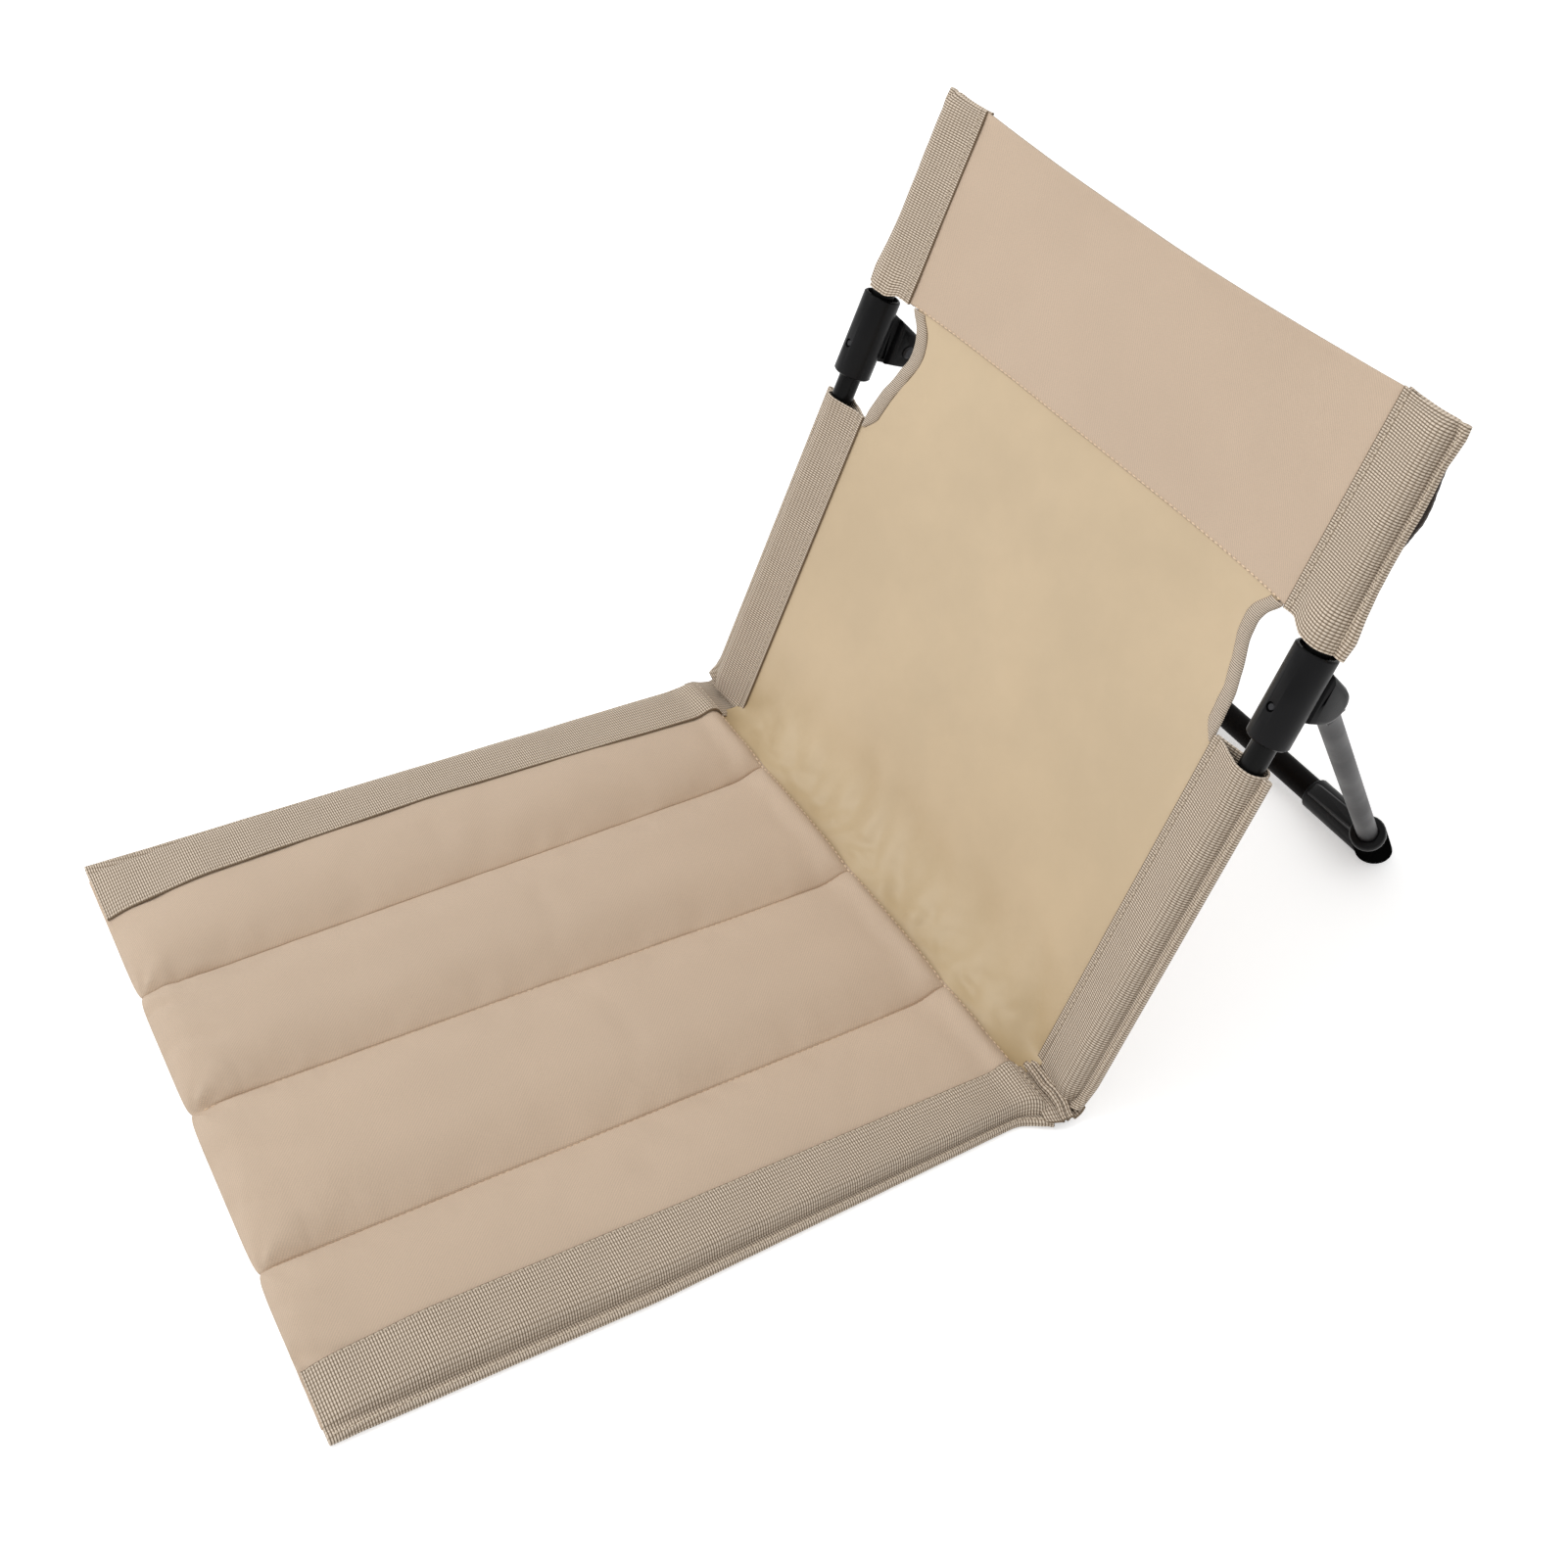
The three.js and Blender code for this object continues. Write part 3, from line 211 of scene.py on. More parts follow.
def walked(points, count):
    """Spots evenly spaced along a line of points, and its length."""
    points = [Vector(p) for p in points]
    steps = [0.0]
    for first, second in zip(points, points[1:]):
        steps.append(steps[-1] + (second - first).length)
    spots = []
    leg = 0
    for number in range(count):
        goal = steps[-1] * number / (count - 1)
        while leg < len(points) - 2 and steps[leg + 1] < goal:
            leg += 1
        span = steps[leg + 1] - steps[leg]
        spots.append(points[leg].lerp(points[leg + 1], clamp((goal - steps[leg]) / span if span else 0)))
    return spots, steps[-1]


def rounded(points):
    """Cuts the corners of a line of points twice, and keeps its two ends."""
    points = [Vector(p) for p in points]
    for _ in range(2):
        cut = [points[0]]
        for first, second in zip(points, points[1:]):
            cut += [first.lerp(second, 0.25), first.lerp(second, 0.75)]
        points = cut + [points[-1]]
    return points


def new_piece(name, bm, material):
    """An object made from a bmesh, with its material and slot."""
    mesh = bpy.data.meshes.new(name)
    bm.to_mesh(mesh)
    bm.free()
    piece = bpy.data.objects.new(name, mesh)
    bpy.context.scene.collection.objects.link(piece)
    mesh.materials.append(material)
    mesh.shade_smooth()
    return piece


def laid_grid(columns, rows, place, lay):
    """A grid with its points put by place at their shares, and laid flat by lay in its UV map."""
    bm = bmesh.new()
    bmesh.ops.create_grid(bm, x_segments=columns, y_segments=rows, size=0.5)
    layer = bm.loops.layers.uv.new("cloth")
    for face in bm.faces:
        for loop in face.loops:
            share = loop.vert.co
            loop[layer].uv = lay(share.x + 0.5, share.y + 0.5)
    for vert in bm.verts:
        vert.co = place(vert.co.x + 0.5, vert.co.y + 0.5)
    return bm


def finished(piece, *modifiers):
    """Adds modifiers by type and settings, and makes their result the mesh."""
    for kind, settings in modifiers:
        modifier = piece.modifiers.new(kind.title(), kind)
        for key, value in settings.items():
            setattr(modifier, key, value)
    view_layer = bpy.context.view_layer
    view_layer.update()
    made = bpy.data.meshes.new_from_object(piece.evaluated_get(view_layer.depsgraph))
    old = piece.data
    piece.modifiers.clear()
    piece.data = made
    made.name = piece.name
    bpy.data.meshes.remove(old)
    made.shade_smooth()


def thickened(piece, thickness, rear_material=0):
    """Gives a cloth its thickness, half on either side, and rounds its cut edges."""
    walls = {"thickness": thickness, "offset": 0.0, "use_even_offset": True}
    walls["material_offset"] = rear_material
    rounding = {"width": thickness * 0.3, "segments": 2}
    rounding |= {"limit_method": "ANGLE", "angle_limit": math.radians(50)}
    finished(piece, ("SOLIDIFY", walls), ("BEVEL", rounding))


CLOTH_STIFFNESS = 15.0
CLOTH_MASS = 0.15
SETTLING_QUALITY = 6


def settle(piece, held, steps, limit, pressure=0.0, growth=0.0, bending=0.5, slack=None):
    """Lets a cloth settle under pressure or its own fullness: some points held, none moved past a limit."""
    group = piece.vertex_groups.new(name="held")
    for vertex in piece.data.vertices:
        group.add([vertex.index], held(vertex.co), "REPLACE")
    start = [vertex.co.copy() for vertex in piece.data.vertices]
    modifier = piece.modifiers.new("Settle", "CLOTH")
    cloth = modifier.settings
    cloth.quality = SETTLING_QUALITY
    cloth.mass = CLOTH_MASS
    cloth.tension_stiffness = CLOTH_STIFFNESS
    cloth.compression_stiffness = CLOTH_STIFFNESS
    cloth.shear_stiffness = CLOTH_STIFFNESS / 3
    cloth.bending_stiffness = bending
    cloth.vertex_group_mass = "held"
    cloth.pin_stiffness = 1.0
    cloth.shrink_min = -growth
    if slack:
        cloth.vertex_group_shrink = slack
        cloth.shrink_min, cloth.shrink_max = 0.0, -growth
    if pressure:
        cloth.use_pressure = True
        cloth.uniform_pressure_force = pressure
    cloth.effector_weights.gravity = 0.0
    modifier.point_cache.frame_start = 1
    modifier.point_cache.frame_end = steps
    scene = bpy.context.scene
    for step in range(1, steps + 1):
        scene.frame_set(step)
    shown = piece.evaluated_get(bpy.context.evaluated_depsgraph_get())
    moved = [vertex.co.copy() for vertex in shown.data.vertices]
    piece.modifiers.remove(modifier)
    scene.frame_set(1)
    for vertex, before, after in zip(piece.data.vertices, start, moved):
        way = after - before
        if way.length > limit:
            way *= limit / way.length
        vertex.co = before + way
    piece.vertex_groups.clear()
    piece.data.update()


def surface_of(piece):
    """A piece's mesh as a tree that rays can be cast on."""
    bm = bmesh.new()
    bm.from_mesh(piece.data)
    tree = BVHTree.FromBMesh(bm)
    bm.free()
    return tree


def stitch_mesh():
    """One stitch with a radius of one along each axis, to be scaled where it is sewn."""
    bm = bmesh.new()
    lying = Matrix.Rotation(math.pi / 2, 4, "Y")
    bmesh.ops.create_uvsphere(bm, u_segments=6, v_segments=4, radius=1, matrix=lying)
    mesh = bpy.data.meshes.new("stitch")
    bm.to_mesh(mesh)
    bm.free()
    return mesh


STITCH_SHARE = 0.72
STITCH_LEAN = 0.09


def sewn_line(stitch, line, chance, lift):
    """A row of stitches along a line of points with their outward ways."""
    cloth = cloth_settings()
    half = cloth.thread_diameter / 2
    length = cloth.stitch_pitch * STITCH_SHARE
    _, whole = walked([point for point, _ in line], 2)
    count = max(2, int(whole / cloth.stitch_pitch))
    spots, _ = walked([point for point, _ in line], count + 1)
    outs, _ = walked([point + out for point, out in line], count + 1)
    bm = bmesh.new()
    for number, (first, second) in enumerate(zip(spots, spots[1:])):
        way = (second - first).normalized()
        out = (outs[number] - spots[number]).normalized()
        side = way.cross(out).normalized()
        way = (way + side * chance.uniform(-STITCH_LEAN, STITCH_LEAN)).normalized()
        side = way.cross(out).normalized()
        out = side.cross(way).normalized()
        turn = Matrix((way * length / 2, side * half, out * half)).transposed().to_4x4()
        turn.translation = (first + second) / 2 + out * half * lift
        known = len(bm.verts)
        bm.from_mesh(stitch)
        bm.verts.ensure_lookup_table()
        bmesh.ops.transform(bm, matrix=turn, verts=bm.verts[known:])
    bmesh.ops.recalc_face_normals(bm, faces=bm.faces)
    mesh = bpy.data.meshes.new("stitch_row")
    bm.to_mesh(mesh)
    bm.free()
    return mesh


def sewn_lines(name, lines, body, material, lift=0.35):
    """Stitches along several lines, as one piece."""
    chance = Random(7)
    stitch = stitch_mesh()
    bm = bmesh.new()
    for line in lines:
        row = sewn_line(stitch, line, chance, lift)
        bm.from_mesh(row)
        bpy.data.meshes.remove(row)
    bpy.data.meshes.remove(stitch)
    piece = new_piece(name, bm, material)
    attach(piece, body)


CAST_BACK = 0.05
CAST_REACH = 0.1


def dropped_line(tree, points, way):
    """Moves points onto a surface along a way, and gives each its outward direction."""
    line = []
    for point in points:
        hit, normal, _, _ = tree.ray_cast(point - way * CAST_BACK, way, CAST_REACH)
        if hit is not None:
            line.append((hit, -way if normal is None else (normal if normal.dot(way) < 0 else -normal)))
    return line


# Finishes

SOCKETS = {
    "colour": "Base Color",
    "roughness": "Roughness",
    "metallic": "Metallic",
    "specular": "Specular IOR Level",
    "sheen": "Sheen Weight",
    "sheen_spread": "Sheen Roughness",
    "glow": "Emission Strength",
    "glow_colour": "Emission Color",
    "normal": "Normal",
}
WEAVE_REPEAT = 4
WEAVE_OVER = 2


class Finish:
    """A material with its nodes at hand."""

    def __init__(self, name):
        self.material = bpy.data.materials.new(name)
        self.material.use_nodes = True
        self.tree = self.material.node_tree
        self.shader = self.tree.nodes["Principled BSDF"]

    def node(self, kind, **values):
        made = self.tree.nodes.new(kind)
        for key, value in values.items():
            setattr(made, key, value)
        return made

    def join(self, source, target):
        self.tree.links.new(source, target)

    def sum(self, operation, *inputs):
        node = self.node("ShaderNodeMath", operation=operation)
        for number, value in enumerate(inputs):
            if isinstance(value, (int, float)):
                node.inputs[number].default_value = value
            else:
                self.join(value, node.inputs[number])
        return node.outputs[0]

    def blend(self, share, first, second):
        node = self.node("ShaderNodeMix", data_type="RGBA")
        for value, socket in ((share, node.inputs[0]), (first, node.inputs[6]), (second, node.inputs[7])):
            if isinstance(value, (int, float)):
                socket.default_value = value
            elif isinstance(value, bpy.types.NodeSocket):
                self.join(value, socket)
            else:
                socket.default_value = (*value, 1)
        return node.outputs[2]

    def range(self, value, low, high, to_low=0.0, to_high=1.0):
        node = self.node("ShaderNodeMapRange", interpolation_type="SMOOTHSTEP")
        self.join(value, node.inputs[0])
        for number, amount in enumerate((low, high, to_low, to_high), 1):
            node.inputs[number].default_value = amount
        return node.outputs[0]

    def clouds(self, place, scale, detail=3.0, rough=0.55):
        node = self.node("ShaderNodeTexNoise")
        node.inputs["Scale"].default_value = scale
        node.inputs["Detail"].default_value = detail
        node.inputs["Roughness"].default_value = rough
        self.join(place, node.inputs["Vector"])
        return node.outputs["Fac"]

    def surface(self, **values):
        """Sets sockets of the shader, or joins to them what makes their value."""
        for key, value in values.items():
            socket = self.shader.inputs[SOCKETS[key]]
            if isinstance(value, bpy.types.NodeSocket):
                self.join(value, socket)
            else:
                socket.default_value = value
        return self.material

    def object_place(self):
        return self.node("ShaderNodeTexCoord").outputs["Object"]

    def cloth_place(self):
        return self.node("ShaderNodeUVMap", uv_map="cloth").outputs["UV"]

    def raised(self, height, strength, distance, under=None):
        node = self.node("ShaderNodeBump")
        node.inputs["Strength"].default_value = strength
        node.inputs["Distance"].default_value = distance
        self.join(height, node.inputs["Height"])
        if under is not None:
            self.join(under, node.inputs["Normal"])
        return node.outputs["Normal"]

    def wave(self, value, pitch):
        """Rounded ridges, from nought between them to one on top."""
        turns = self.sum("MULTIPLY", value, math.pi / pitch)
        return self.sum("ABSOLUTE", self.sum("SINE", turns))

    def split(self, place):
        """How far a place lies across and along its cloth."""
        parts = self.node("ShaderNodeSeparateXYZ")
        self.join(place, parts.inputs[0])
        return parts.outputs[0], parts.outputs[1]

    def weave(self, place, pitch):
        """Height of a twill: threads that pass over some of every repeat, a step further in each row."""
        across, along = (self.sum("DIVIDE", part, pitch) for part in self.split(place))
        warp = self.sum("ABSOLUTE", self.sum("SINE", self.sum("MULTIPLY", across, math.pi)))
        weft = self.sum("ABSOLUTE", self.sum("SINE", self.sum("MULTIPLY", along, math.pi)))
        step = self.sum("ADD", self.sum("FLOOR", across), self.sum("FLOOR", along))
        turn = self.sum("FLOORED_MODULO", step, WEAVE_REPEAT)
        on_top = self.sum("LESS_THAN", turn, WEAVE_OVER - 0.5)
        high = self.sum("MULTIPLY", warp, self.sum("ADD", self.sum("MULTIPLY", weft, 0.35), 0.65))
        low = self.sum("MULTIPLY", weft, self.sum("ADD", self.sum("MULTIPLY", warp, 0.35), 0.35))
        picked = self.sum("MULTIPLY", high, on_top)
        rest = self.sum("MULTIPLY", low, self.sum("SUBTRACT", 1.0, on_top))
        return self.sum("ADD", picked, rest)


FINISHES = {}


def once(maker):
    """Makes a finish the first time it is asked for."""

    def made():
        if maker.__name__ not in FINISHES:
            FINISHES[maker.__name__] = maker()
        return FINISHES[maker.__name__]

    return made


def shade(colour, *shares):
    """A colour times one share, or one for each of its parts."""
    return tuple(c * share for c, share in zip(colour, shares * (3 // len(shares))))


@once
def oxford_finish():
    """Beige oxford cloth: a fine diagonal weave with painted shade in its hollows, slightly uneven in colour.
    """
    finish = Finish("oxford_cloth")
    colour = colour_settings().oxford
    place = finish.cloth_place()
    height = finish.weave(place, 0.42 * MM)
    patches = finish.clouds(place, 14.0, 4.0)
    yarns = finish.clouds(place, 900.0, 2.0)
    base = finish.blend(finish.range(patches, 0.3, 0.7), shade(colour, 0.955), shade(colour, 1.03))
    # Painted shade: the low parts of the weave are darkened towards 0.62 of the cloth's colour.
    weave_with_hollow_shade = finish.blend(finish.range(height, 0.1, 0.85), shade(colour, 0.62), base)
    return finish.surface(
        colour=finish.blend(finish.sum("MULTIPLY", yarns, 0.25), weave_with_hollow_shade, shade(colour, 1.12)),
        roughness=0.82,
        specular=0.28,
        sheen=0.12,
        sheen_spread=0.5,
        normal=finish.raised(height, 0.6, 0.3 * MM),
    )


@once
def coated_finish():
    """Coated side of the cloth: a little glossy, rubbed in spots, with painted shade low down by the hinge
    seam.
    """
    finish = Finish("coated_cloth")
    colour = colour_settings().coated
    place = finish.cloth_place()
    height = finish.weave(place, 0.62 * MM)
    patches = finish.clouds(place, 9.0, 5.0, 0.6)
    rubbed = finish.clouds(place, 34.0, 6.0, 0.65)
    base = finish.blend(finish.range(patches, 0.32, 0.7), shade(colour, 0.93), shade(colour, 1.03))
    _, up = finish.split(place)
    # Painted shade: the lowest few centimetres of the cloth above the hinge seam are darkened and made
    # yellower, with a ragged top edge from noise.
    crumpled = finish.sum("ADD", up, finish.sum("MULTIPLY", rubbed, 0.05))
    hinge_shade = finish.range(crumpled, 0.030, 0.105, 1.0, 0.0)
    base = finish.blend(hinge_shade, base, shade(colour, 0.83, 0.80, 0.70))
    marks = finish.range(rubbed, 0.66, 0.8, 0.0, 0.35)
    dents = finish.raised(finish.clouds(place, 60.0, 4.0), 0.12, 2 * MM)
    return finish.surface(
        colour=finish.blend(marks, base, shade(colour, 1.16)),
        roughness=finish.range(rubbed, 0.3, 0.75, 0.40, 0.52),
        specular=0.42,
        normal=finish.raised(height, 0.07, 0.2 * MM, dents),
    )


def ribbed(name, colour, rib_pitch, bead_pitch, gap, needle_row):
    """Woven tape: small ribs, with painted shade in the gaps between them, along both edges and along a row
    where the needle pulled it in.
    """
    finish = Finish(name)
    dark = colour_settings().selvedge
    place = finish.cloth_place()
    across, along = finish.split(place)
    rib = finish.wave(along, rib_pitch)
    bead = finish.wave(across, bead_pitch)
    height = finish.sum("MULTIPLY", rib, finish.sum("ADD", finish.sum("MULTIPLY", bead, 0.6), 0.4))
    yarns = finish.clouds(place, 520.0, 2.0)
    patches = finish.clouds(place, 22.0, 3.0)
    base = finish.blend(finish.range(patches, 0.3, 0.7), shade(colour, 0.94), shade(colour, 1.06))
    base = finish.blend(finish.sum("MULTIPLY", yarns, 0.5), shade(colour, 0.88), base)
    # Painted shade: the gaps between the ribs are darkened towards the selvedge colour.
    ribs = finish.blend(finish.range(height, 0.05, gap), dark, base)
    # Painted shade along the needle row and along both edges of the tape.
    beside = finish.sum("ABSOLUTE", finish.sum("SUBTRACT", across, needle_row))
    row = finish.range(beside, 0.25 * MM, 0.6 * MM, 0.55, 0.0)
    edge = finish.range(across, 0.25 * MM, 0.8 * MM, 0.8, 0.0)
    return finish.surface(
        colour=finish.blend(finish.sum("MAXIMUM", row, edge), ribs, dark),
        roughness=0.88,
        specular=0.2,
        sheen=0.08,
        normal=finish.raised(height, 0.9, 0.7 * MM),
    )


def wide_webbing(name, needle_row):
    """The 40 mm webbing. Its pitches, along and across, are as measured in the photo."""
    return ribbed(name, shade(colour_settings().webbing, 1.38), 1.33 * MM, 2.3 * MM, 0.86, needle_row)


@once
def webbing_finish():
    """Grey-beige webbing of the mat's sides and the corners."""
    return wide_webbing("webbing_cloth", 0.4 * MM)


@once
def sleeve_finish():
    """The same webbing with painted shade along the row of stitches beside the sleeves' selvedge."""
    return wide_webbing("sleeve_cloth", SELVEDGE_ROW)


@once
def tape_finish():
    """Narrow light tape round the hand openings."""
    return ribbed("binding_cloth", shade(colour_settings().webbing, 1.26), 1.1 * MM, 14 * MM, 0.7, 0.3 * MM)


def twisted(name, colour, hollow):
    """Sewing thread, with painted shade in the hollows of its twist."""
    finish = Finish(name)
    twist = finish.clouds(finish.object_place(), 2600.0, 1.0)
    # Painted shade: the hollow share darkens the thread where its twist sinks.
    return finish.surface(
        colour=finish.blend(twist, shade(colour, hollow), shade(colour, 1.15)),
        roughness=0.6,
        normal=finish.raised(twist, 0.4, 0.2 * MM),
    )


@once
def thread_finish():
    return twisted("sewing_thread", colour_settings().thread, 0.72)


@once
def webbing_thread_finish():
    return twisted("webbing_thread", colour_settings().webbing_thread, 0.75)


@once
def hook_finish():
    """Dark fuzzy hook-and-loop tape."""
    finish = Finish("hook_tape")
    colour = colour_settings().hook
    fuzz = finish.clouds(finish.object_place(), 1500.0, 3.0, 0.7)
    return finish.surface(
        colour=finish.blend(fuzz, shade(colour, 0.5), shade(colour, 2.0)),
        roughness=0.95,
        sheen=0.4,
        normal=finish.raised(fuzz, 0.9, 0.8 * MM),
    )


def moulded(name, colour, roughness, grain, specular):
    """Moulded plastic or rubber: a fine grain, dust in broad patches and slightly rubbed."""
    finish = Finish(name)
    place = finish.object_place()
    fine = finish.clouds(place, 1400.0, 3.0, 0.6)
    broad = finish.clouds(place, 45.0, 4.0)
    return finish.surface(
        colour=finish.blend(finish.range(broad, 0.35, 0.75), shade(colour, 0.85), shade(colour, 1.35)),
        roughness=finish.range(broad, 0.3, 0.7, roughness - 0.05, roughness + 0.07),
        specular=specular,
        normal=finish.raised(fine, grain, 0.3 * MM),
    )


def drawn_tube(name, colour, roughness, metallic, brushed, specular):
    """Drawn and painted tube: fine marks, and gloss that varies a little."""
    finish = Finish(name)
    place = finish.object_place()
    marks = finish.clouds(place, 700.0, 4.0, 0.7)
    broad = finish.clouds(place, 30.0, 3.0)
    return finish.surface(
        colour=finish.blend(finish.range(marks, 0.3, 0.75), shade(colour, 0.88), shade(colour, 1.18)),
        roughness=finish.range(broad, 0.3, 0.7, roughness - 0.04, roughness + 0.06),
        metallic=metallic,
        specular=specular,
        normal=finish.raised(marks, brushed, 0.2 * MM),
    )


@once
def black_tube_finish():
    return drawn_tube("black_tube", colour_settings().black_tube, 0.30, 0.0, 0.05, 0.12)


@once
def grey_tube_finish():
    return drawn_tube("grey_tube", colour_settings().grey_tube, 0.42, 0.85, 0.12, 0.12)


@once
def bar_tube_finish():
    return drawn_tube("crossbar_tube", colour_settings().bar_tube, 0.40, 0.0, 0.08, 0.04)


@once
def steel_finish():
    return drawn_tube("dark_steel", colour_settings().steel, 0.34, 0.9, 0.1, 0.25)


@once
def plastic_finish():
    return moulded("black_plastic", colour_settings().plastic, 0.36, 0.12, 0.14)


@once
def rubber_finish():
    return moulded("foot_rubber", colour_settings().rubber, 0.70, 0.2, 0.0)


# Mat

BASE_HEIGHT = 0.0012
BASE_DROP = 0.0018
PAD_SKIN = 0.0010
COVER_BASE = 0.0030
OUTER_FULLNESS = 0.82
MAT_LIFT_LENGTH = 0.020
NOSE_LENGTH = 0.020
TAIL_LENGTH = 0.011
SHOULDER_WIDTH = 0.006
BOUND_FROM = 0.125
BOUND_WIDTH = 0.035
FLAT_FRONT_LENGTH = 0.065
STITCHED_HALF = 0.145
FRONT_PULL = 0.0024


def stitch_lines():
    """Places across the mat of its three stitch lines."""
    spacing = cloth_settings().channel_width
    return -spacing, 0.0, spacing


def channel_crown(share):
    """Height of a channel's crown at a share of its width."""
    side = abs(2 * share - 1)
    return max(0.0, 1 - side**3.0) ** 0.5


def fullness(x):
    """How full the pad is across the mat: nought at a stitch line, one on a crown."""
    spacing = cloth_settings().channel_width
    channels = abs(x) / spacing
    if channels < 1:
        return channel_crown(channels)
    share = (abs(x) - spacing) / (HALF_WIDTH - spacing)
    if share < 0.5:
        return channel_crown(share)
    return mix(1.0, OUTER_FULLNESS, smooth((share - 0.5) / 0.4))


# How far the mat strays to the right, across it: at its front edge, half way back and at its rear edge.
STRAYS = (
    (0.0, 0.010, 0.008, -0.002, 0.006, 0.0035, 0.0005),
    (-0.001, 0.0, 0.0, -0.004, 0.003, 0.0035, 0.0),
    (-0.002, 0.002, -0.008, -0.004, -0.001, 0.002, 0.0),
)
STRAY_FADE = 0.009
DRAWN_IN = 0.0105
DRAWN_WIDTH = 0.032
DRAWN_START = -0.190
DRAWN_LENGTH = 0.205
RELEASE_START = 0.018
RELEASE_LENGTH = 0.022


def drawn_in(x, y):
    """How far the right side of the mat is drawn in on its way to the corner."""
    outer = clamp((x - (HALF_WIDTH - DRAWN_WIDTH)) / DRAWN_WIDTH) ** 1.2
    released = smooth((y - RELEASE_START) / RELEASE_LENGTH)
    return DRAWN_IN * outer * clamp((y - DRAWN_START) / DRAWN_LENGTH) * (1 - released)


def strayed(x, y):
    """Where a place of the hand-sewn mat has strayed to sideways."""
    places = (-HALF_WIDTH, -CLOTH_EDGE, *stitch_lines(), CLOTH_EDGE, HALF_WIDTH)
    along = 2 * clamp((y - MAT_FRONT) / (MAT_REAR - MAT_FRONT))
    first = min(int(along), 1)
    near = level(places, STRAYS[first], x)
    far = level(places, STRAYS[first + 1], x)
    fade = 1 - smooth((y - MAT_REAR) / STRAY_FADE)
    return x + mix(near, far, along - first) * fade - drawn_in(x, y)


def mat_front(x):
    """The front edge, drawn back a little at the stitch lines."""
    pulled = 1 - fullness(x) if abs(x) < STITCHED_HALF else 0
    return MAT_FRONT + FRONT_PULL * max(0.0, pulled) ** 2


def mat_lift(y):
    """Share of the mat's rise from the floor to the hinge seam."""
    return smooth((y - MAT_REAR + MAT_LIFT_LENGTH) / MAT_LIFT_LENGTH)


def base_top(y):
    """Height of the seam between the base cloth and the cover."""
    return BASE_HEIGHT + mat_lift(y) * (SEAM_Z - BASE_DROP)


def cover_top(x, y):
    """Height of the cover over the floor; the webbing holds the front of the outer channels down."""
    from_front = clamp((y - mat_front(x)) / NOSE_LENGTH)
    bound = smooth((abs(x) - BOUND_FROM) / BOUND_WIDTH)
    nose = max((1 - (1 - from_front) ** 2) ** 0.62, 0.42 * bound)
    flat = 1 - 0.5 * bound * (1 - smooth((y - MAT_FRONT) / FLAT_FRONT_LENGTH))
    side = clamp((PAD_EDGE - abs(x)) / SHOULDER_WIDTH)
    shoulder = 0.30 + 0.70 * math.sqrt(1 - (1 - side) ** 2)
    tail = 1 - 0.88 * clamp((y - MAT_REAR + TAIL_LENGTH) / TAIL_LENGTH) ** 2.2
    crown = cloth_settings().pad_height - COVER_BASE
    return base_top(y) + PAD_SKIN + crown * fullness(x) * nose * flat * shoulder * tail


def mat_columns(count):
    """Places across the mat, close together at the stitch lines and the sides."""
    edges = (-PAD_EDGE, *stitch_lines(), PAD_EDGE)
    near = 0.4 * MM
    lines = []
    for first, second in zip(edges, edges[1:]):
        lines += [mix(first, second, to_ends(number / count)) for number in range(count)]
        lines += [second - near, second, second + near]
    inside = [x for x in lines if abs(x) < PAD_EDGE - 0.1 * MM]
    return sorted({-PAD_EDGE, -PAD_EDGE + near, *inside, PAD_EDGE})


GATHER_START = 0.004
GATHER_REACH = 0.016


def gathers(x, y, depth):
    """Small gathers that run out from the stitch lines."""
    nearest = min(abs(x - line) for line in stitch_lines())
    fade = math.exp(-nearest / GATHER_REACH) * clamp(nearest / GATHER_START)
    wave = soft_noise((x * 0.25, y, 0), 0.009, 3.0) + 0.6 * soft_noise((x * 0.5, y, 0), 0.004, 9.0)
    return depth * fade * wave


FAN_START = 0.003
FAN_REACH = 0.020
FRONT_FAN = 0.0012
REAR_FAN = 0.0005


def fanned(x, y):
    """Creases that fan out from the front and rear ends of the stitch lines."""
    depth = 0.0
    for line in stitch_lines():
        for end, most in ((mat_front(line), FRONT_FAN), (MAT_REAR, REAR_FAN)):
            across, along = x - line, abs(y - end)
            far = math.hypot(across, along)
            turn = math.atan2(across, along) * 6.5 + 2.2 * soft_noise((line, end, far), 0.03, 4.0)
            depth += most * math.sin(turn) * math.exp(-far / FAN_REACH) * clamp(abs(across) / FAN_START)
    return depth


FRONT_CREASE = 0.0030
CREASE_LENGTH = 0.055


def front_creases(x, y):
    """Creases that run back from the front edge, where the cover is turned under."""
    near = clamp(1 - (y - MAT_FRONT) / CREASE_LENGTH)
    slant = soft_noise((x - (y - MAT_FRONT) * 0.55, y * 0.12, 0), 0.013, 5.0)
    return -FRONT_CREASE * near**1.5 * smooth((abs(slant) - 0.18) / 0.4)


PAD_SETTLING = 0.0022
HELD_INSIDE = 0.003
HELD_NEAR = 0.6 * MM
RIM_HEIGHT = 0.0004
FREE_HEIGHT = 0.004
UNEVEN = 0.0007


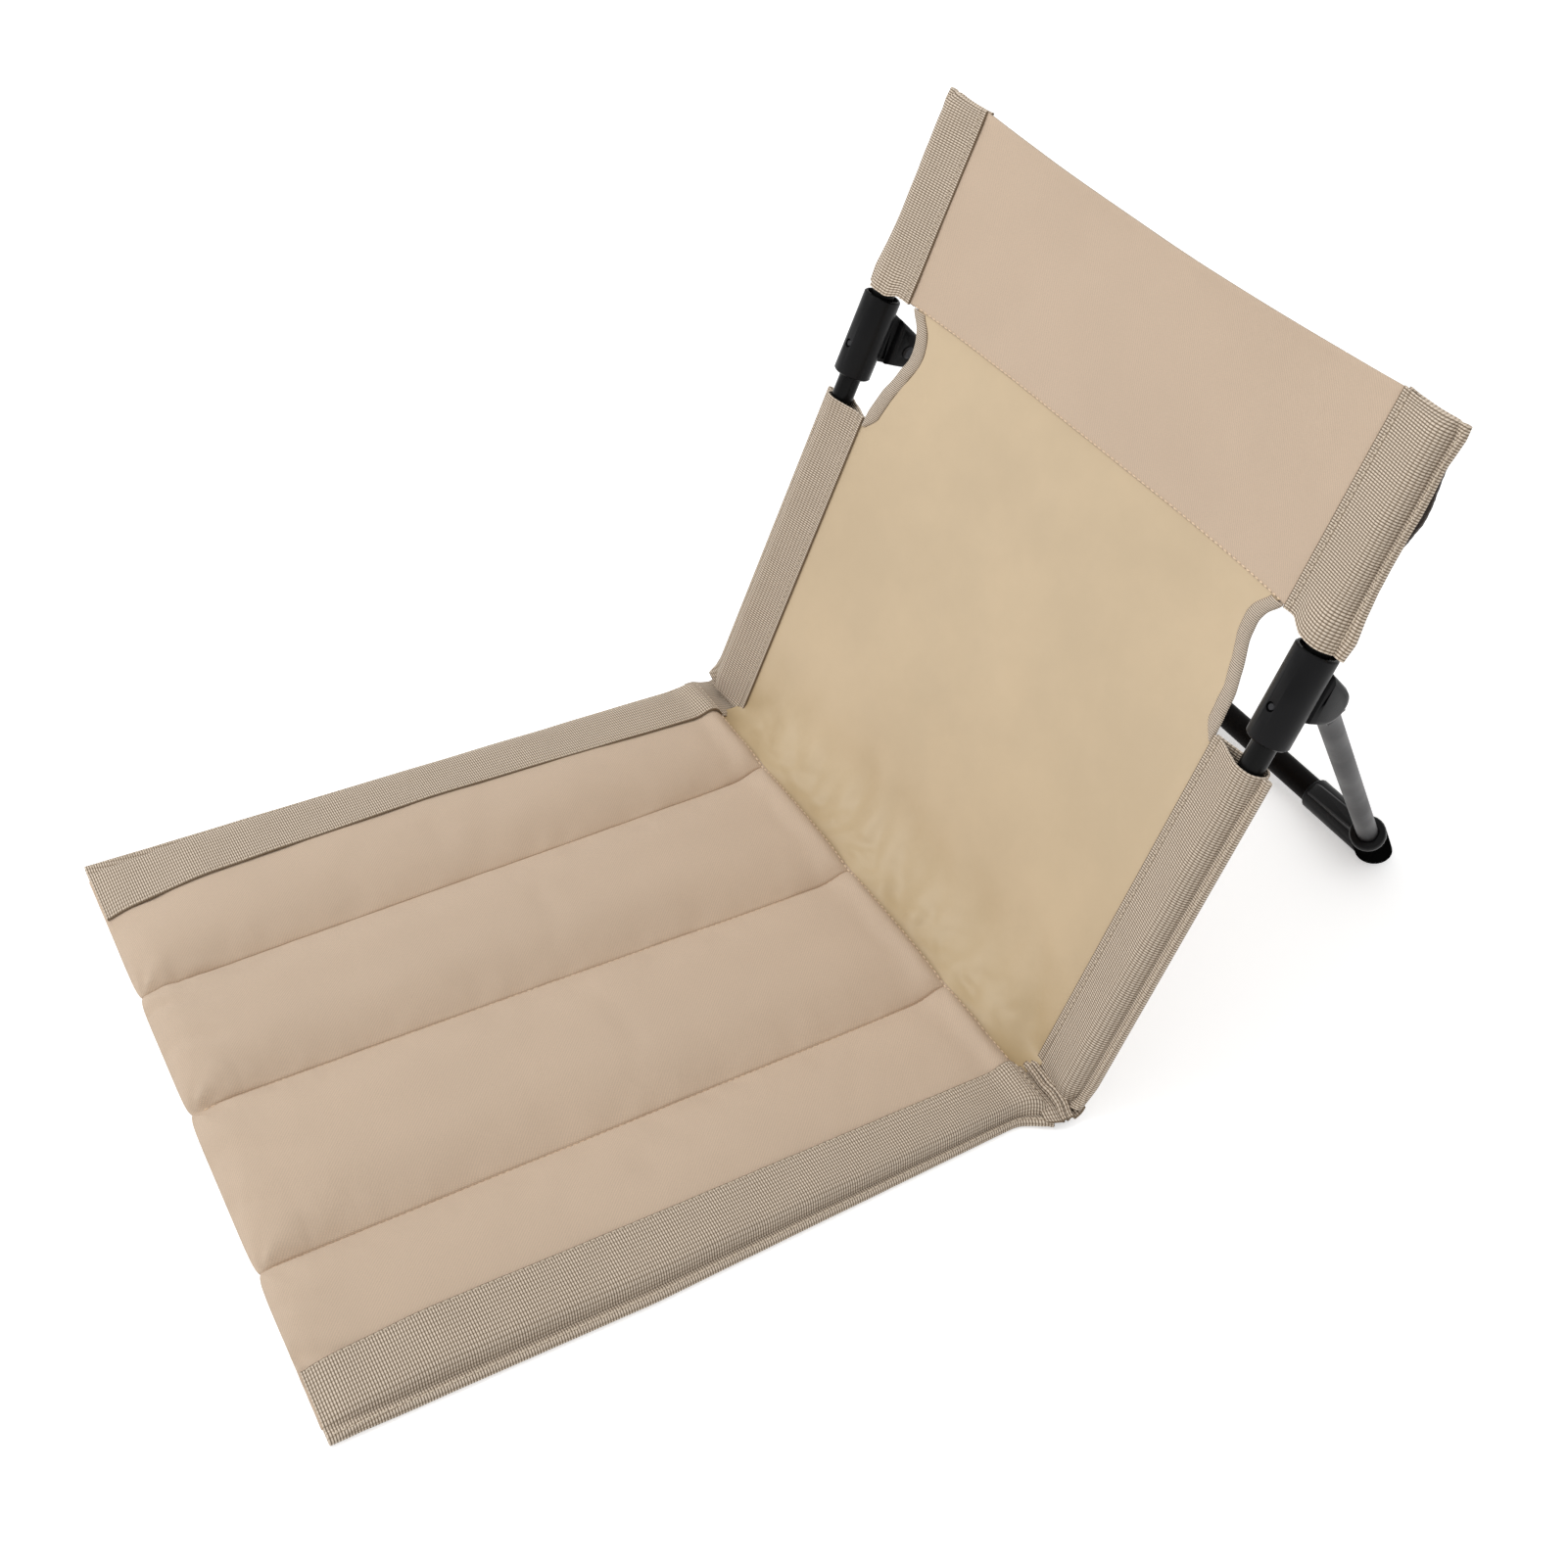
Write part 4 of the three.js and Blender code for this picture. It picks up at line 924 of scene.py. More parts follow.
class ChairMatPad(bpy.types.Operator):
    """Makes the quilted pad of the mat, with its foam swelling between the stitch lines"""

    bl_idname = "floor_chair.mat_pad"
    bl_label = "Mat Pad"

    def execute(self, context):
        cloth = cloth_settings()
        columns, rows = mat_columns(16), 66
        count = len(columns) - 1

        def place(a, b):
            x = columns[round(a * count)]
            y = mix(mat_front(x), MAT_REAR, mix(to_ends(b), b, 0.45))
            return Vector((x, y, cover_top(x, y)))

        def lay(a, b):
            spot = place(a, b)
            return (spot.x, spot.y)

        bm = laid_grid(count, rows, place, lay)
        rim = [edge for edge in bm.edges if edge.is_boundary]
        made = bmesh.ops.duplicate(bm, geom=bm.faces[:])["geom"]
        faces = [item for item in made if isinstance(item, bmesh.types.BMFace)]
        for vert in {vert for face in faces for vert in face.verts}:
            vert.co.z = base_top(vert.co.y) - PAD_SKIN
        bmesh.ops.reverse_faces(bm, faces=faces)
        far = [edge for edge in bm.edges if edge.is_boundary and edge not in rim]
        bmesh.ops.bridge_loops(bm, edges=rim + far)
        bmesh.ops.recalc_face_normals(bm, faces=bm.faces)
        piece = new_piece("mat_pad", bm, oxford_finish())

        def held(co):
            if co.z < base_top(co.y):
                return 1.0
            line = min(abs(co.x - line) for line in stitch_lines())
            edge = min(CLOTH_EDGE - HELD_INSIDE - abs(co.x), MAT_REAR - co.y, co.y - mat_front(co.x))
            return 1.0 if min(line, edge) < HELD_NEAR else 0.0

        settle(piece, held, cloth.settling_steps, PAD_SETTLING, pressure=3.0, growth=0.003)
        finished(piece, ("SUBSURF", {"levels": 1, "render_levels": 1}))
        for vertex in piece.data.vertices:
            co = vertex.co
            if co.z > base_top(co.y) + RIM_HEIGHT:
                rise = clamp((co.z - base_top(co.y)) / FREE_HEIGHT)
                depth = cloth.pucker * (1 + 1.6 * clamp(1 - (co.y - MAT_FRONT) / 0.05))
                co.z += rise * (gathers(co.x, co.y, depth) + fanned(co.x, co.y) + front_creases(co.x, co.y))
                co.z += rise * UNEVEN * soft_noise(co, 0.045, 2.0)
            co.x = strayed(co.x, co.y)
        piece.data.update()
        foams = [f"seat_foam_{number}" for number in range(1, 5)]
        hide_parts("seat_cover", "seat_base_cloth", *foams)
        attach(piece, "seat")
        return {"FINISHED"}


WEBBING_GAP = 0.0002
SELVEDGE_RISE = 0.0004
SELVEDGE_WIDTH = 0.004
WEBBING_DROP = 0.0045
FLANGE_RISE = 0.0034
LEAST_FALL = 0.0004
UNDER_TURN = (0.0010, 0.0060)
MAT_WEBBING_WAVE = 0.0005
TUCK = 0.0008
TUCK_LENGTH = 0.003
TUCK_FROM = 0.158
TUCK_WIDTH = 0.004

# The webbing's way round the mat's edge: places across, and shares of the fall from the top to the flange.
EDGE_FALL = ((0.1870, 0.0), (0.1898, 0.10), (0.1915, 0.40), (0.1924, 0.95))
# Then along the flange: places across, and heights over it.
EDGE_FLANGE = ((0.1934, -0.0008), (0.1945, -0.0002), (0.1962, 0.0004), (0.1985, 0.0003))


def edge_section(y):
    """The folded webbing of the mat's right side, from its top selvedge round to the one beneath."""
    cloth = cloth_settings()
    inner = HALF_WIDTH - cloth.webbing_width
    half = cloth.webbing_thickness / 2
    line = [Vector((mix(inner, EDGE_FALL[0][0], i / 7), 0, 0)) for i in range(8)]
    for spot in line:
        rise = SELVEDGE_RISE * smooth((spot.x - inner) / SELVEDGE_WIDTH)
        spot.z = cover_top(spot.x, y) + half + WEBBING_GAP + rise
    top = line[-1].z
    drop = WEBBING_DROP * mat_lift(y)
    low = base_top(y) - BASE_HEIGHT + half - drop
    flange = min(low + FLANGE_RISE, top - LEAST_FALL)
    line += [Vector((x, 0, mix(top, flange, share))) for x, share in EDGE_FALL[1:]]
    line += [Vector((x, 0, flange + over)) for x, over in EDGE_FLANGE]
    line.append(Vector((HALF_WIDTH, 0, mix(flange, low, 0.5))))
    line += [Vector((HALF_WIDTH - within, 0, low)) for within in UNDER_TURN]
    return line + [Vector((inner, 0, low + drop))]


class ChairMatWebbing(bpy.types.Operator):
    """Makes the webbing folded over both sides of the mat"""

    bl_idname = "floor_chair.mat_webbing"
    bl_label = "Mat Webbing"

    def execute(self, context):
        cloth = cloth_settings()
        columns, rows = 56, 96
        start, end = MAT_FRONT + 0.0008, MAT_REAR - 0.0004
        lines = []
        for number in range(rows + 1):
            y = mix(start, end, mix(to_ends(number / rows), number / rows, 0.6))
            spots, width = walked(rounded(edge_section(y)), columns + 1)
            lines.append((y, spots, width))
        for side, name in SIDES:

            def place(a, b):
                y, spots, _ = lines[round(b * rows)]
                spot = spots[round(a * columns)]
                wave = MAT_WEBBING_WAVE * soft_noise((spot.x * 0.6, y, side), 0.03, 4.0)
                wave *= clamp(spot.z / 0.006)
                near_rear = smooth((y - MAT_REAR + TUCK_LENGTH) / TUCK_LENGTH)
                tucked = TUCK * near_rear * smooth((spot.x - TUCK_FROM) / TUCK_WIDTH)
                return Vector((strayed(side * spot.x, y), y, spot.z + wave - tucked))

            def lay(a, b):
                y, _, width = lines[round(b * rows)]
                return (min(a, 1 - a) * width, y)

            bm = laid_grid(columns, rows, place, lay)
            bmesh.ops.recalc_face_normals(bm, faces=bm.faces)
            piece = new_piece("mat_webbing_" + name, bm, webbing_finish())
            thickened(piece, cloth.webbing_thickness)
            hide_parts("seat_webbing_" + name)
            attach(piece, "seat")
            width = sum(line[2] for line in lines) / len(lines)
        return {"FINISHED"}


# Back


def cutout_share(up):
    """A height as a share of the way from the lower sleeve's mouth to the upper one's."""
    return (up - LOWER_MOUTH) / (UPPER_MOUTH - LOWER_MOUTH)


CUTOUT_SHARES = (0, 0.08, 0.22, 0.44, 0.7, 0.97, 1, 0.78, 0.2)
CUTOUT_DEPTH = 0.012
BINDING_WIDTH = 0.009


def opening_depth(up):
    """How far the hand opening reaches in from the sleeve at a height."""
    place = clamp(cutout_share(up)) * (len(CUTOUT_SHARES) - 1)
    first = min(int(place), len(CUTOUT_SHARES) - 2)
    part = place - first
    known = [CUTOUT_SHARES[int(clamp(first + step, 0, len(CUTOUT_SHARES) - 1))] for step in (-1, 0, 1, 2)]
    rise = (known[2] - known[0]) / 2
    run = (known[3] - known[1]) / 2
    cubic = (2 * known[1] - 2 * known[2] + rise + run) * part**3
    square = (-3 * known[1] + 3 * known[2] - 2 * rise - run) * part**2
    return CUTOUT_DEPTH * (cubic + square + rise * part + known[1])


def binding_depth(up):
    """How far the hand opening and its binding reach in from the sleeve at a height."""
    return opening_depth(up) + BINDING_WIDTH * smooth((up - LOWER_MOUTH + 0.009) / 0.0135)


BEND_TOP = 0.013
LOOSE_BEND_TOP = 0.046
BEND_TURN = 0.0012
LOOSE_BEND_TURN = 0.0165
LOOSE_FORWARD = 0.0008
SEWN_UP = 0.0004
SEWN_BEHIND = 0.0002
TIGHT_FROM = 0.157
TIGHT_WIDTH = 0.035


def cloth_line(x, up):
    """The cloth from the side: up, behind, and which way it faces. It bends tightly beside the sleeves."""
    loose = smooth((TIGHT_FROM - abs(x)) / TIGHT_WIDTH) * (1 + 0.25 * soft_noise((x, 0, 0), 0.03, 2.0))
    top = mix(BEND_TOP, LOOSE_BEND_TOP, loose)
    if up >= top:
        return up, 0.0, Vector((-1, 0))
    share = (up - SEAM_UP) / (top - SEAM_UP)
    turn = Vector((SEAM_UP + mix(BEND_TURN, LOOSE_BEND_TURN, loose), -LOOSE_FORWARD * loose))
    start, end = Vector((SEAM_UP + SEWN_UP, SEAM_BEHIND + SEWN_BEHIND)), Vector((top, 0))
    spot = start * (1 - share) ** 2 + turn * 2 * share * (1 - share) + end * share * share
    way = ((turn - start) * (1 - share) + (end - turn) * share).normalized()
    return spot.x, spot.y, Vector((-way.x, way.y))


def back_sag(across, up):
    """How far the cloth hangs between the uprights."""
    height = math.sin(math.pi * clamp(up / BACK_HEIGHT))
    return cloth_settings().back_sag * (1 - across**4) * math.sqrt(max(0.0, height))


BROAD_FOLD = 0.0044
SHORT_FOLD = 0.0040
FOLD_LENGTH = 0.060
SHORT_FOLD_LENGTH = 0.040
FOLD_START = 0.001
FOLD_RISE = 0.010
FOLD_FALL = 0.008
FOLDED_HALF = 0.156
FOLD_MARGIN = 0.02
SLACK_EDGE = 0.0025
SAG_FADE = 0.040


def hinge_folds(x, up):
    """Short folds that rise from the hinge seam and fade up the cloth."""
    rise = up - SEAM_UP
    fade = smooth((rise - FOLD_START) / FOLD_RISE) * (1 - smooth((rise - FOLD_FALL) / FOLD_LENGTH))
    fade *= clamp((FOLDED_HALF - abs(x)) / FOLD_MARGIN)
    broad = soft_noise((x + up * 0.4, up * 0.5, 0), 0.017, 3.0)
    fine = soft_noise((x - up * 0.5, up * 0.6, 0), 0.0075, 11.0)
    near = 1 - smooth(rise / SHORT_FOLD_LENGTH)
    return fade * (BROAD_FOLD * broad + SHORT_FOLD * near * (0.18 - abs(fine)))


def cloth_point(x, up, push):
    """A point of the back cloth, pushed out along the way it faces."""
    across = x / CLOTH_EDGE
    rise, behind, facing = cloth_line(x, up)
    hang = SLACK_EDGE * math.sin(math.pi * clamp(cutout_share(up))) ** 2 * across * across
    settled = (back_sag(across, up) + hang) * smooth((up - SEAM_UP) / SAG_FADE)
    return on_back(x, rise + facing.y * push, behind + facing.x * push + settled)


def panel_up(b):
    """Height up the back at a share of the panel's rows, which lie closer together at the hinge."""
    return mix(SEAM_UP, PANEL_TOP, b**1.5)


UNDER_SLEEVE = 0.004
BOUND_END = 0.0003
BOUND_FADE = 0.002
WIDER_FOOT = 0.002
WIDER_UP = 0.006
WIDER_FADE = 0.008


def panel_across(a, up):
    """Place across the back at a share of the panel's width, which gives way to the bindings."""
    fade = clamp((UPPER_MOUTH + BOUND_FADE - up) / BOUND_FADE)
    bound = binding_depth(min(up, UPPER_MOUTH - BOUND_END)) * fade
    wider = WIDER_FOOT * (1 - smooth((up - WIDER_UP) / WIDER_FADE))
    edge = CLOTH_EDGE + UNDER_SLEEVE - bound + wider
    return mix(-edge, edge, a)


def rounded_off(co):
    """A place to the nearest thousandth of a millimetre, to find it again by."""
    return tuple(round(c, 6) for c in co)


BACK_SETTLING = 0.004
BENT_CLOTH = 0.012


class ChairBackPanel(bpy.types.Operator):
    """Makes the coated cloth of the back, settled between its sleeves with folds above the hinge"""

    bl_idname = "floor_chair.back_panel"
    bl_label = "Back Panel"

    def execute(self, context):
        cloth = cloth_settings()
        columns, rows = 76, 72

        def place(a, b):
            up = panel_up(b)
            x = panel_across(a, up)
            return cloth_point(x, up, hinge_folds(x, up))

        def lay(a, b):
            up = panel_up(b)
            return (panel_across(a, up), up + BENT_CLOTH * clamp((up - SEAM_UP) / (BEND_TOP - SEAM_UP)))

        bm = laid_grid(columns, rows, place, lay)
        rim = {rounded_off(vert.co) for vert in bm.verts if vert.is_boundary}
        piece = new_piece("back_cloth", bm, coated_finish())

        def held(co):
            return 1.0 if rounded_off(co) in rim else 0.0

        slack = piece.vertex_groups.new(name="slack")
        for vertex in piece.data.vertices:
            up = (vertex.co - Vector((0, BACK_FOOT, 0))).dot(UP)
            slack.add([vertex.index], 0.25 + 0.75 * (1 - smooth((up - 0.01) / 0.13)), "REPLACE")
        settle(piece, held, cloth.settling_steps, BACK_SETTLING, growth=0.012, bending=0.3, slack="slack")
        finished(piece, ("SUBSURF", {"levels": 1, "render_levels": 1}))
        piece.data.materials.append(oxford_finish())
        thickened(piece, cloth.cloth_thickness, rear_material=1)
        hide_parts("back_panel")
        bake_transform(piece)
        return {"FINISHED"}


# The headband's lower edge, turned in: heights over it, and places behind the back's plane.
HEM_LINE = ((0.0004, -0.0003), (-0.0003, -0.0007), (-0.0003, -0.0014), (0.0006, -0.0017), (0.0022, -0.0013))
# The fold along its top: heights over the top, and places behind.
TOP_FOLD = ((-0.0012, -0.0017), (0.0, -0.0006), (-0.0004, 0.0012))
BAND_LAYER = 0.0009
BAND_PUFF = 0.0006
BAND_DIP = 0.005
TOP_WAVE = 0.0012
BAND_WAVE = 0.0006


def band_section(across, count):
    """The doubled band from its hem up the front, over the top and down the rear, and its length."""
    top = BACK_HEIGHT - BAND_DIP * (1 - across * across)
    line = [Vector((UPPER_MOUTH + up, behind, 0)) for up, behind in HEM_LINE]
    for i in range(1, 9):
        puff = BAND_PUFF * math.sin(math.pi * i / 8)
        line.append(Vector((mix(UPPER_MOUTH, top - 0.004, i / 8), -BAND_LAYER - puff, 0)))
    line += [Vector((top + up, behind, 0)) for up, behind in TOP_FOLD]
    line += [Vector((mix(top - 0.004, UPPER_MOUTH + 0.001, i / 8), BAND_LAYER, 0)) for i in range(9)]
    return walked(rounded(line), count)


class ChairHeadband(bpy.types.Operator):
    """Makes the headband, a doubled cloth folded over along its top edge"""

    bl_idname = "floor_chair.headband"
    bl_label = "Headband"

    def execute(self, context):
        cloth = cloth_settings()
        columns, rows = 84, 72
        sections = [band_section(2 * number / columns - 1, rows + 1) for number in range(columns + 1)]

        def place(a, b):
            across = 2 * a - 1
            spot = sections[round(a * columns)][0][round(b * rows)]
            x = across * (CLOTH_EDGE + 0.002)
            near_top = smooth((spot.x - 0.30) / 0.09)
            wave = TOP_WAVE * near_top * soft_noise((x, spot.x * 0.3, 0), 0.06, 8.0) * (1 - across**2)
            wave += BAND_WAVE * soft_noise((x * 0.7, spot.x, 0), 0.03, 1.0) * (1 - across**4)
            return on_back(x, spot.x, spot.y + back_sag(across, spot.x) + wave)

        def lay(a, b):
            return ((2 * a - 1) * CLOTH_EDGE, b * sections[round(a * columns)][1])

        bm = laid_grid(columns, rows, place, lay)
        piece = new_piece("headband_cloth", bm, oxford_finish())
        thickened(piece, cloth.cloth_thickness)
        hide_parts("headband")
        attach(piece, "back_frame")
        return {"FINISHED"}


TAPE_WIDTH = 0.019
TAPE_LENGTH = 0.079
TAPE_BULGE = 0.0013
TAPE_CRUMPLE = 0.0005
TAPE_WANDER = 0.0006


class ChairCutoutBindings(bpy.types.Operator):
    """Makes the narrow webbing folded over the edges of the hand openings"""

    bl_idname = "floor_chair.cutout_bindings"
    bl_label = "Cut-out Bindings"

    def execute(self, context):
        columns, rows = 16, 60
        for side, name in SIDES:

            def place(a, b):
                up = mix(LOWER_MOUTH - 0.0045, UPPER_MOUTH - 0.0003, b)
                turn = 2 * math.pi * (a - 0.5) * 0.96
                share = (1 + math.cos(turn)) / 2
                depth = mix(binding_depth(up), opening_depth(up), share)
                x = CLOTH_EDGE - 0.0003 - depth
                push = TAPE_BULGE * math.sin(turn) * (1 - 0.3 * math.cos(turn) ** 2)
                push += TAPE_CRUMPLE * soft_noise((side, up, 0), 0.007, 2.0)
                x += TAPE_WANDER * soft_noise((side, up, 3.0), 0.012, 5.0)
                spot = cloth_point(x, up, push)
                spot.x *= side
                return spot

            def lay(a, b):
                return (min(a, 1 - a) * TAPE_WIDTH, b * TAPE_LENGTH)

            bm = laid_grid(columns, rows, place, lay)
            bmesh.ops.recalc_face_normals(bm, faces=bm.faces)
            piece = new_piece("cutout_tape_" + name, bm, tape_finish())
            thickened(piece, cloth_settings().cloth_thickness)
            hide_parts("cutout_binding_" + name)
            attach(piece, "back_frame")
        return {"FINISHED"}


TUBE_FIT = 0.0077
TUBE_TURNS = (-112, -6)
SELVEDGE_END = 0.0045
CLOSED_WIDTH = 0.0085
LEAST_GAP = 0.0007
MOUTH_FLARE = 0.0010
FLAT_RADIUS = 0.0016
FLAT_WIDTH = 0.0060

# The front half of a sleeve's flange: places in from its outer edge, and in front of the back's plane.
FLANGE_LINE = ((0.0062, 0.0005), (0.0052, 0.0011), (0.0022, 0.0013), (0.0008, 0.0010))


def sleeve_section(bulge, gap, mouth):
    """A right sleeve's section, across and behind, from its front selvedge round to the rear one."""
    radius = mix(FLAT_RADIUS, TUBE_FIT + MOUTH_FLARE * mouth, bulge)
    wide = mix(FLAT_WIDTH, radius, bulge)
    inner = HALF_WIDTH - cloth_settings().webbing_width
    front = [
        Vector((inner, -gap, 0)),
        Vector((inner + SELVEDGE_END, -gap, 0)),
        Vector((inner + CLOSED_WIDTH, -mix(gap, radius, 0.15), 0)),
    ]
    for number in range(10):
        turn = math.radians(mix(*TUBE_TURNS, number / 9))
        behind = min(-LEAST_GAP, radius * math.sin(turn))
        front.append(Vector((UPRIGHT_X + wide * math.cos(turn), behind, 0)))
    for number, (within, before) in enumerate(FLANGE_LINE):
        pushed = MOUTH_FLARE * mouth if number < 2 else 0
        front.append(Vector((HALF_WIDTH - within + pushed, -before, 0)))
    rear = [Vector((spot.x, -spot.y, 0)) for spot in reversed(front)]
    return front + [Vector((HALF_WIDTH - 0.0002, 0, 0))] + rear


# How far the outer edge of the upper sleeves drifts outwards at heights up the back.
FLANGE_HEIGHTS = (0.281, 0.289, 0.300, 0.312, 0.330, 0.349, 0.360, 0.372, 0.386, 0.392)
FLANGE_DRIFTS = (0.0006, 0.0014, -0.0005, -0.0018, -0.0023, -0.0020, -0.0022, -0.0032, -0.0018, -0.0026)
FLANGE_FROM = 0.1915
FLANGE_WIDTH = 0.0075
MOUTH_LENGTH = 0.018
MOUTH_CRUMPLE = 0.0008
MOUTH_RAGGED = 0.0010
SLEEVE_WAVE = 0.0006
UPPER_MOUTH_DROP = 0.0030
TOP_END_DIP = 0.0012
TOP_END_LENGTH = 0.006
FOOT_LENGTH = 0.022
FOOT_FORWARD = 0.0032
FOOT_CORNER = 0.0060
FOOT_LIP = 0.0013
FOOT_LIP_LENGTH = 0.007


def sleeve_point(kind, side, spot, up, bottom, top):
    """Where a spot of a sleeve's section goes: loose at the mouth, drawn together at the sewn end."""
    mouth = clamp(1 - (top - up if kind == "lower" else up - bottom) / MOUTH_LENGTH)
    round_tube = clamp((abs(spot.y) - 0.0012) / 0.003)
    loose = MOUTH_CRUMPLE * mouth * soft_noise((spot.x, spot.y, up * 0.3), 0.006, 2.0 + side)
    wave = SLEEVE_WAVE * soft_noise((spot.x * 0.8, up, side), 0.022, 4.0)
    behind = spot.y + (wave + loose) * round_tube * (1 if spot.y > 0 else -1)
    outer = clamp((spot.x - FLANGE_FROM) / FLANGE_WIDTH)
    ragged = MOUTH_RAGGED * mouth * soft_noise((spot.x * 0.9, spot.y, side), 0.012, 5.0)
    if kind == "upper":
        drift = level(FLANGE_HEIGHTS, FLANGE_DRIFTS, up) + 0.0004 * soft_noise((0, up, side), 0.012, 7.0)
        lowered = UPPER_MOUTH_DROP * mouth * smooth((spot.x - 0.168) / 0.010)
        hollow = math.sin(math.pi * clamp((spot.x - 0.160) / 0.036))
        dip = TOP_END_DIP * smooth((up - top + TOP_END_LENGTH) / TOP_END_LENGTH) * hollow
        return on_back(side * (spot.x + drift * outer), up + ragged - lowered - dip, behind)
    foot = smooth((FOOT_LENGTH - up) / FOOT_LENGTH)
    corner = FOOT_CORNER * clamp((spot.x - 0.189) / 0.011) ** 1.4 * clamp((0.032 - up) / 0.030)
    near_foot = 1 - smooth((up - bottom) / FOOT_LIP_LENGTH)
    lip = FOOT_LIP * near_foot * smooth((spot.x - 0.161) / 0.004) * (spot.y < 0)
    return on_back(side * spot.x, up + ragged + corner, behind - lip - FOOT_FORWARD * foot * outer)


LOWER_FOOT = {"right": 0.0025, "left": 0.0048}
SELVEDGE_GAP = {"lower": 0.0011, "upper": 0.0020}
CLOSING_LENGTH = {"lower": 0.010, "upper": 0.0055}
FLARE_LENGTH = 0.025


def make_sleeve(kind, side, name, bottom, top):
    """A webbing sleeve round an upright, open towards the bracket and sewn flat at its other end."""
    columns, rows = 96, 90
    sections = []
    for number in range(rows + 1):
        up = mix(bottom, top, number / rows)
        from_sewn, from_open = (up - bottom, top - up) if kind == "lower" else (top - up, up - bottom)
        bulge = math.sqrt(clamp(from_sewn / CLOSING_LENGTH[kind]))
        section = sleeve_section(bulge, SELVEDGE_GAP[kind], clamp(1 - from_open / FLARE_LENGTH))
        sections.append((up, *walked(rounded(section), columns + 1)))

    def place(a, b):
        up, spots, _ = sections[round(b * rows)]
        return sleeve_point(kind, side, spots[round(a * columns)], up, bottom, top)

    def lay(a, b):
        up, _, width = sections[round(b * rows)]
        return (min(a, 1 - a) * width, up)

    bm = laid_grid(columns, rows, place, lay)
    bmesh.ops.recalc_face_normals(bm, faces=bm.faces)
    piece = new_piece(f"{kind}_webbing_sleeve_{name}", bm, sleeve_finish())
    thickened(piece, cloth_settings().webbing_thickness)
    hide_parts(f"{kind}_sleeve_{name}")
    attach(piece, "back_frame")


class ChairSleeves(bpy.types.Operator):
    """Makes the four webbing sleeves that hold the cloth on the uprights"""

    bl_idname = "floor_chair.sleeves"
    bl_label = "Webbing Sleeves"

    def execute(self, context):
        for side, name in SIDES:
            make_sleeve("lower", side, name, LOWER_FOOT[name], LOWER_MOUTH)
            make_sleeve("upper", side, name, UPPER_MOUTH, BACK_HEIGHT)
        return {"FINISHED"}


STRIP_LENGTH = 0.0885
STRIP_INNER = 0.1850
STRIP_OUTER = 0.1945
STRIP_TOP = BACK_HEIGHT - 0.0030
STRIP_THICKNESS = 0.0013
STRIP_FUZZ = 0.0003
STRIP_BEHIND = 0.0024
STRIP_LIFT = 0.0009
BULGE = 0.0044
BULGE_UP = 0.350
BULGE_LENGTH = 0.018
SLEEVE_RIM = 0.1935


class ChairHookStrips(bpy.types.Operator):
    """Makes the hook-and-loop strips on the rear edges of the upper sleeves"""

    bl_idname = "floor_chair.hook_strips"
    bl_label = "Hook-and-Loop Strips"

    def execute(self, context):
        columns, rows = 16, 120
        for side, name in SIDES:
            sleeve = surface_of(bpy.data.objects["upper_webbing_sleeve_" + name])

            def place(a, b):
                up = mix(STRIP_TOP - STRIP_LENGTH, STRIP_TOP, b)
                bulge = BULGE * math.exp(-(((up - BULGE_UP) / BULGE_LENGTH) ** 2))
                outer = STRIP_OUTER + bulge + STRIP_FUZZ * soft_noise((0, up, side), 0.003, 6.0)
                x = mix(STRIP_INNER, outer, a)
                fuzz = STRIP_FUZZ * soft_noise((x, up, side), 0.0012, 2.0)
                hit, _, _, _ = sleeve.ray_cast(on_back(side * min(x, SLEEVE_RIM), up, 0.03), -BEHIND, 0.04)
                behind = STRIP_BEHIND
                if hit is not None:
                    behind = (hit - Vector((0, BACK_FOOT, 0))).dot(BEHIND) + STRIP_LIFT
                return on_back(side * x, up, behind + fuzz)

            bm = laid_grid(columns, rows, place, lambda a, b: (a * 0.009, b * STRIP_LENGTH))
            bmesh.ops.recalc_face_normals(bm, faces=bm.faces)
            piece = new_piece("hook_tape_" + name, bm, hook_finish())
            thickened(piece, STRIP_THICKNESS)
            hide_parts("hook_and_loop_strip_" + name)
            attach(piece, "back_frame")
        return {"FINISHED"}


# Ways of the corners' webbing past the hinge seam: places behind it and heights over it.
ROPE_LINE = (
    (-0.0040, 0.0004), (-0.0008, 0.0010), (0.0012, 0.0014), (0.0038, 0.0000), (0.0056, -0.0034),
    (0.0064, 0.0012), (0.0090, 0.0018), (0.0100, -0.0048), (0.0108, 0.0004), (0.0134, 0.0008),
    (0.0142, -0.0050), (0.0146, -0.0060),
)
PLAIN_LINE = (
    (-0.0040, 0.0004), (-0.0008, 0.0010), (0.0030, 0.0004), (0.0070, -0.0014), (0.0105, -0.0034),
    (0.0135, -0.0050),
)
# Then up into the sleeve: heights up the back, and places behind its plane.
INTO_SLEEVE = ((0.0040, -0.0008), (0.0070, -0.0004), (0.0095, -0.0003))
CORNER_WIDTH = 0.04
CORNER_THICKNESS = 0.0011
CRUSH = 0.0011
BOW = 0.0012
OUTER_BOW = 0.0026
SUNK = 0.0016
OUTER_END_HEIGHT = 0.0052
LEAST_HEIGHT = 0.0014


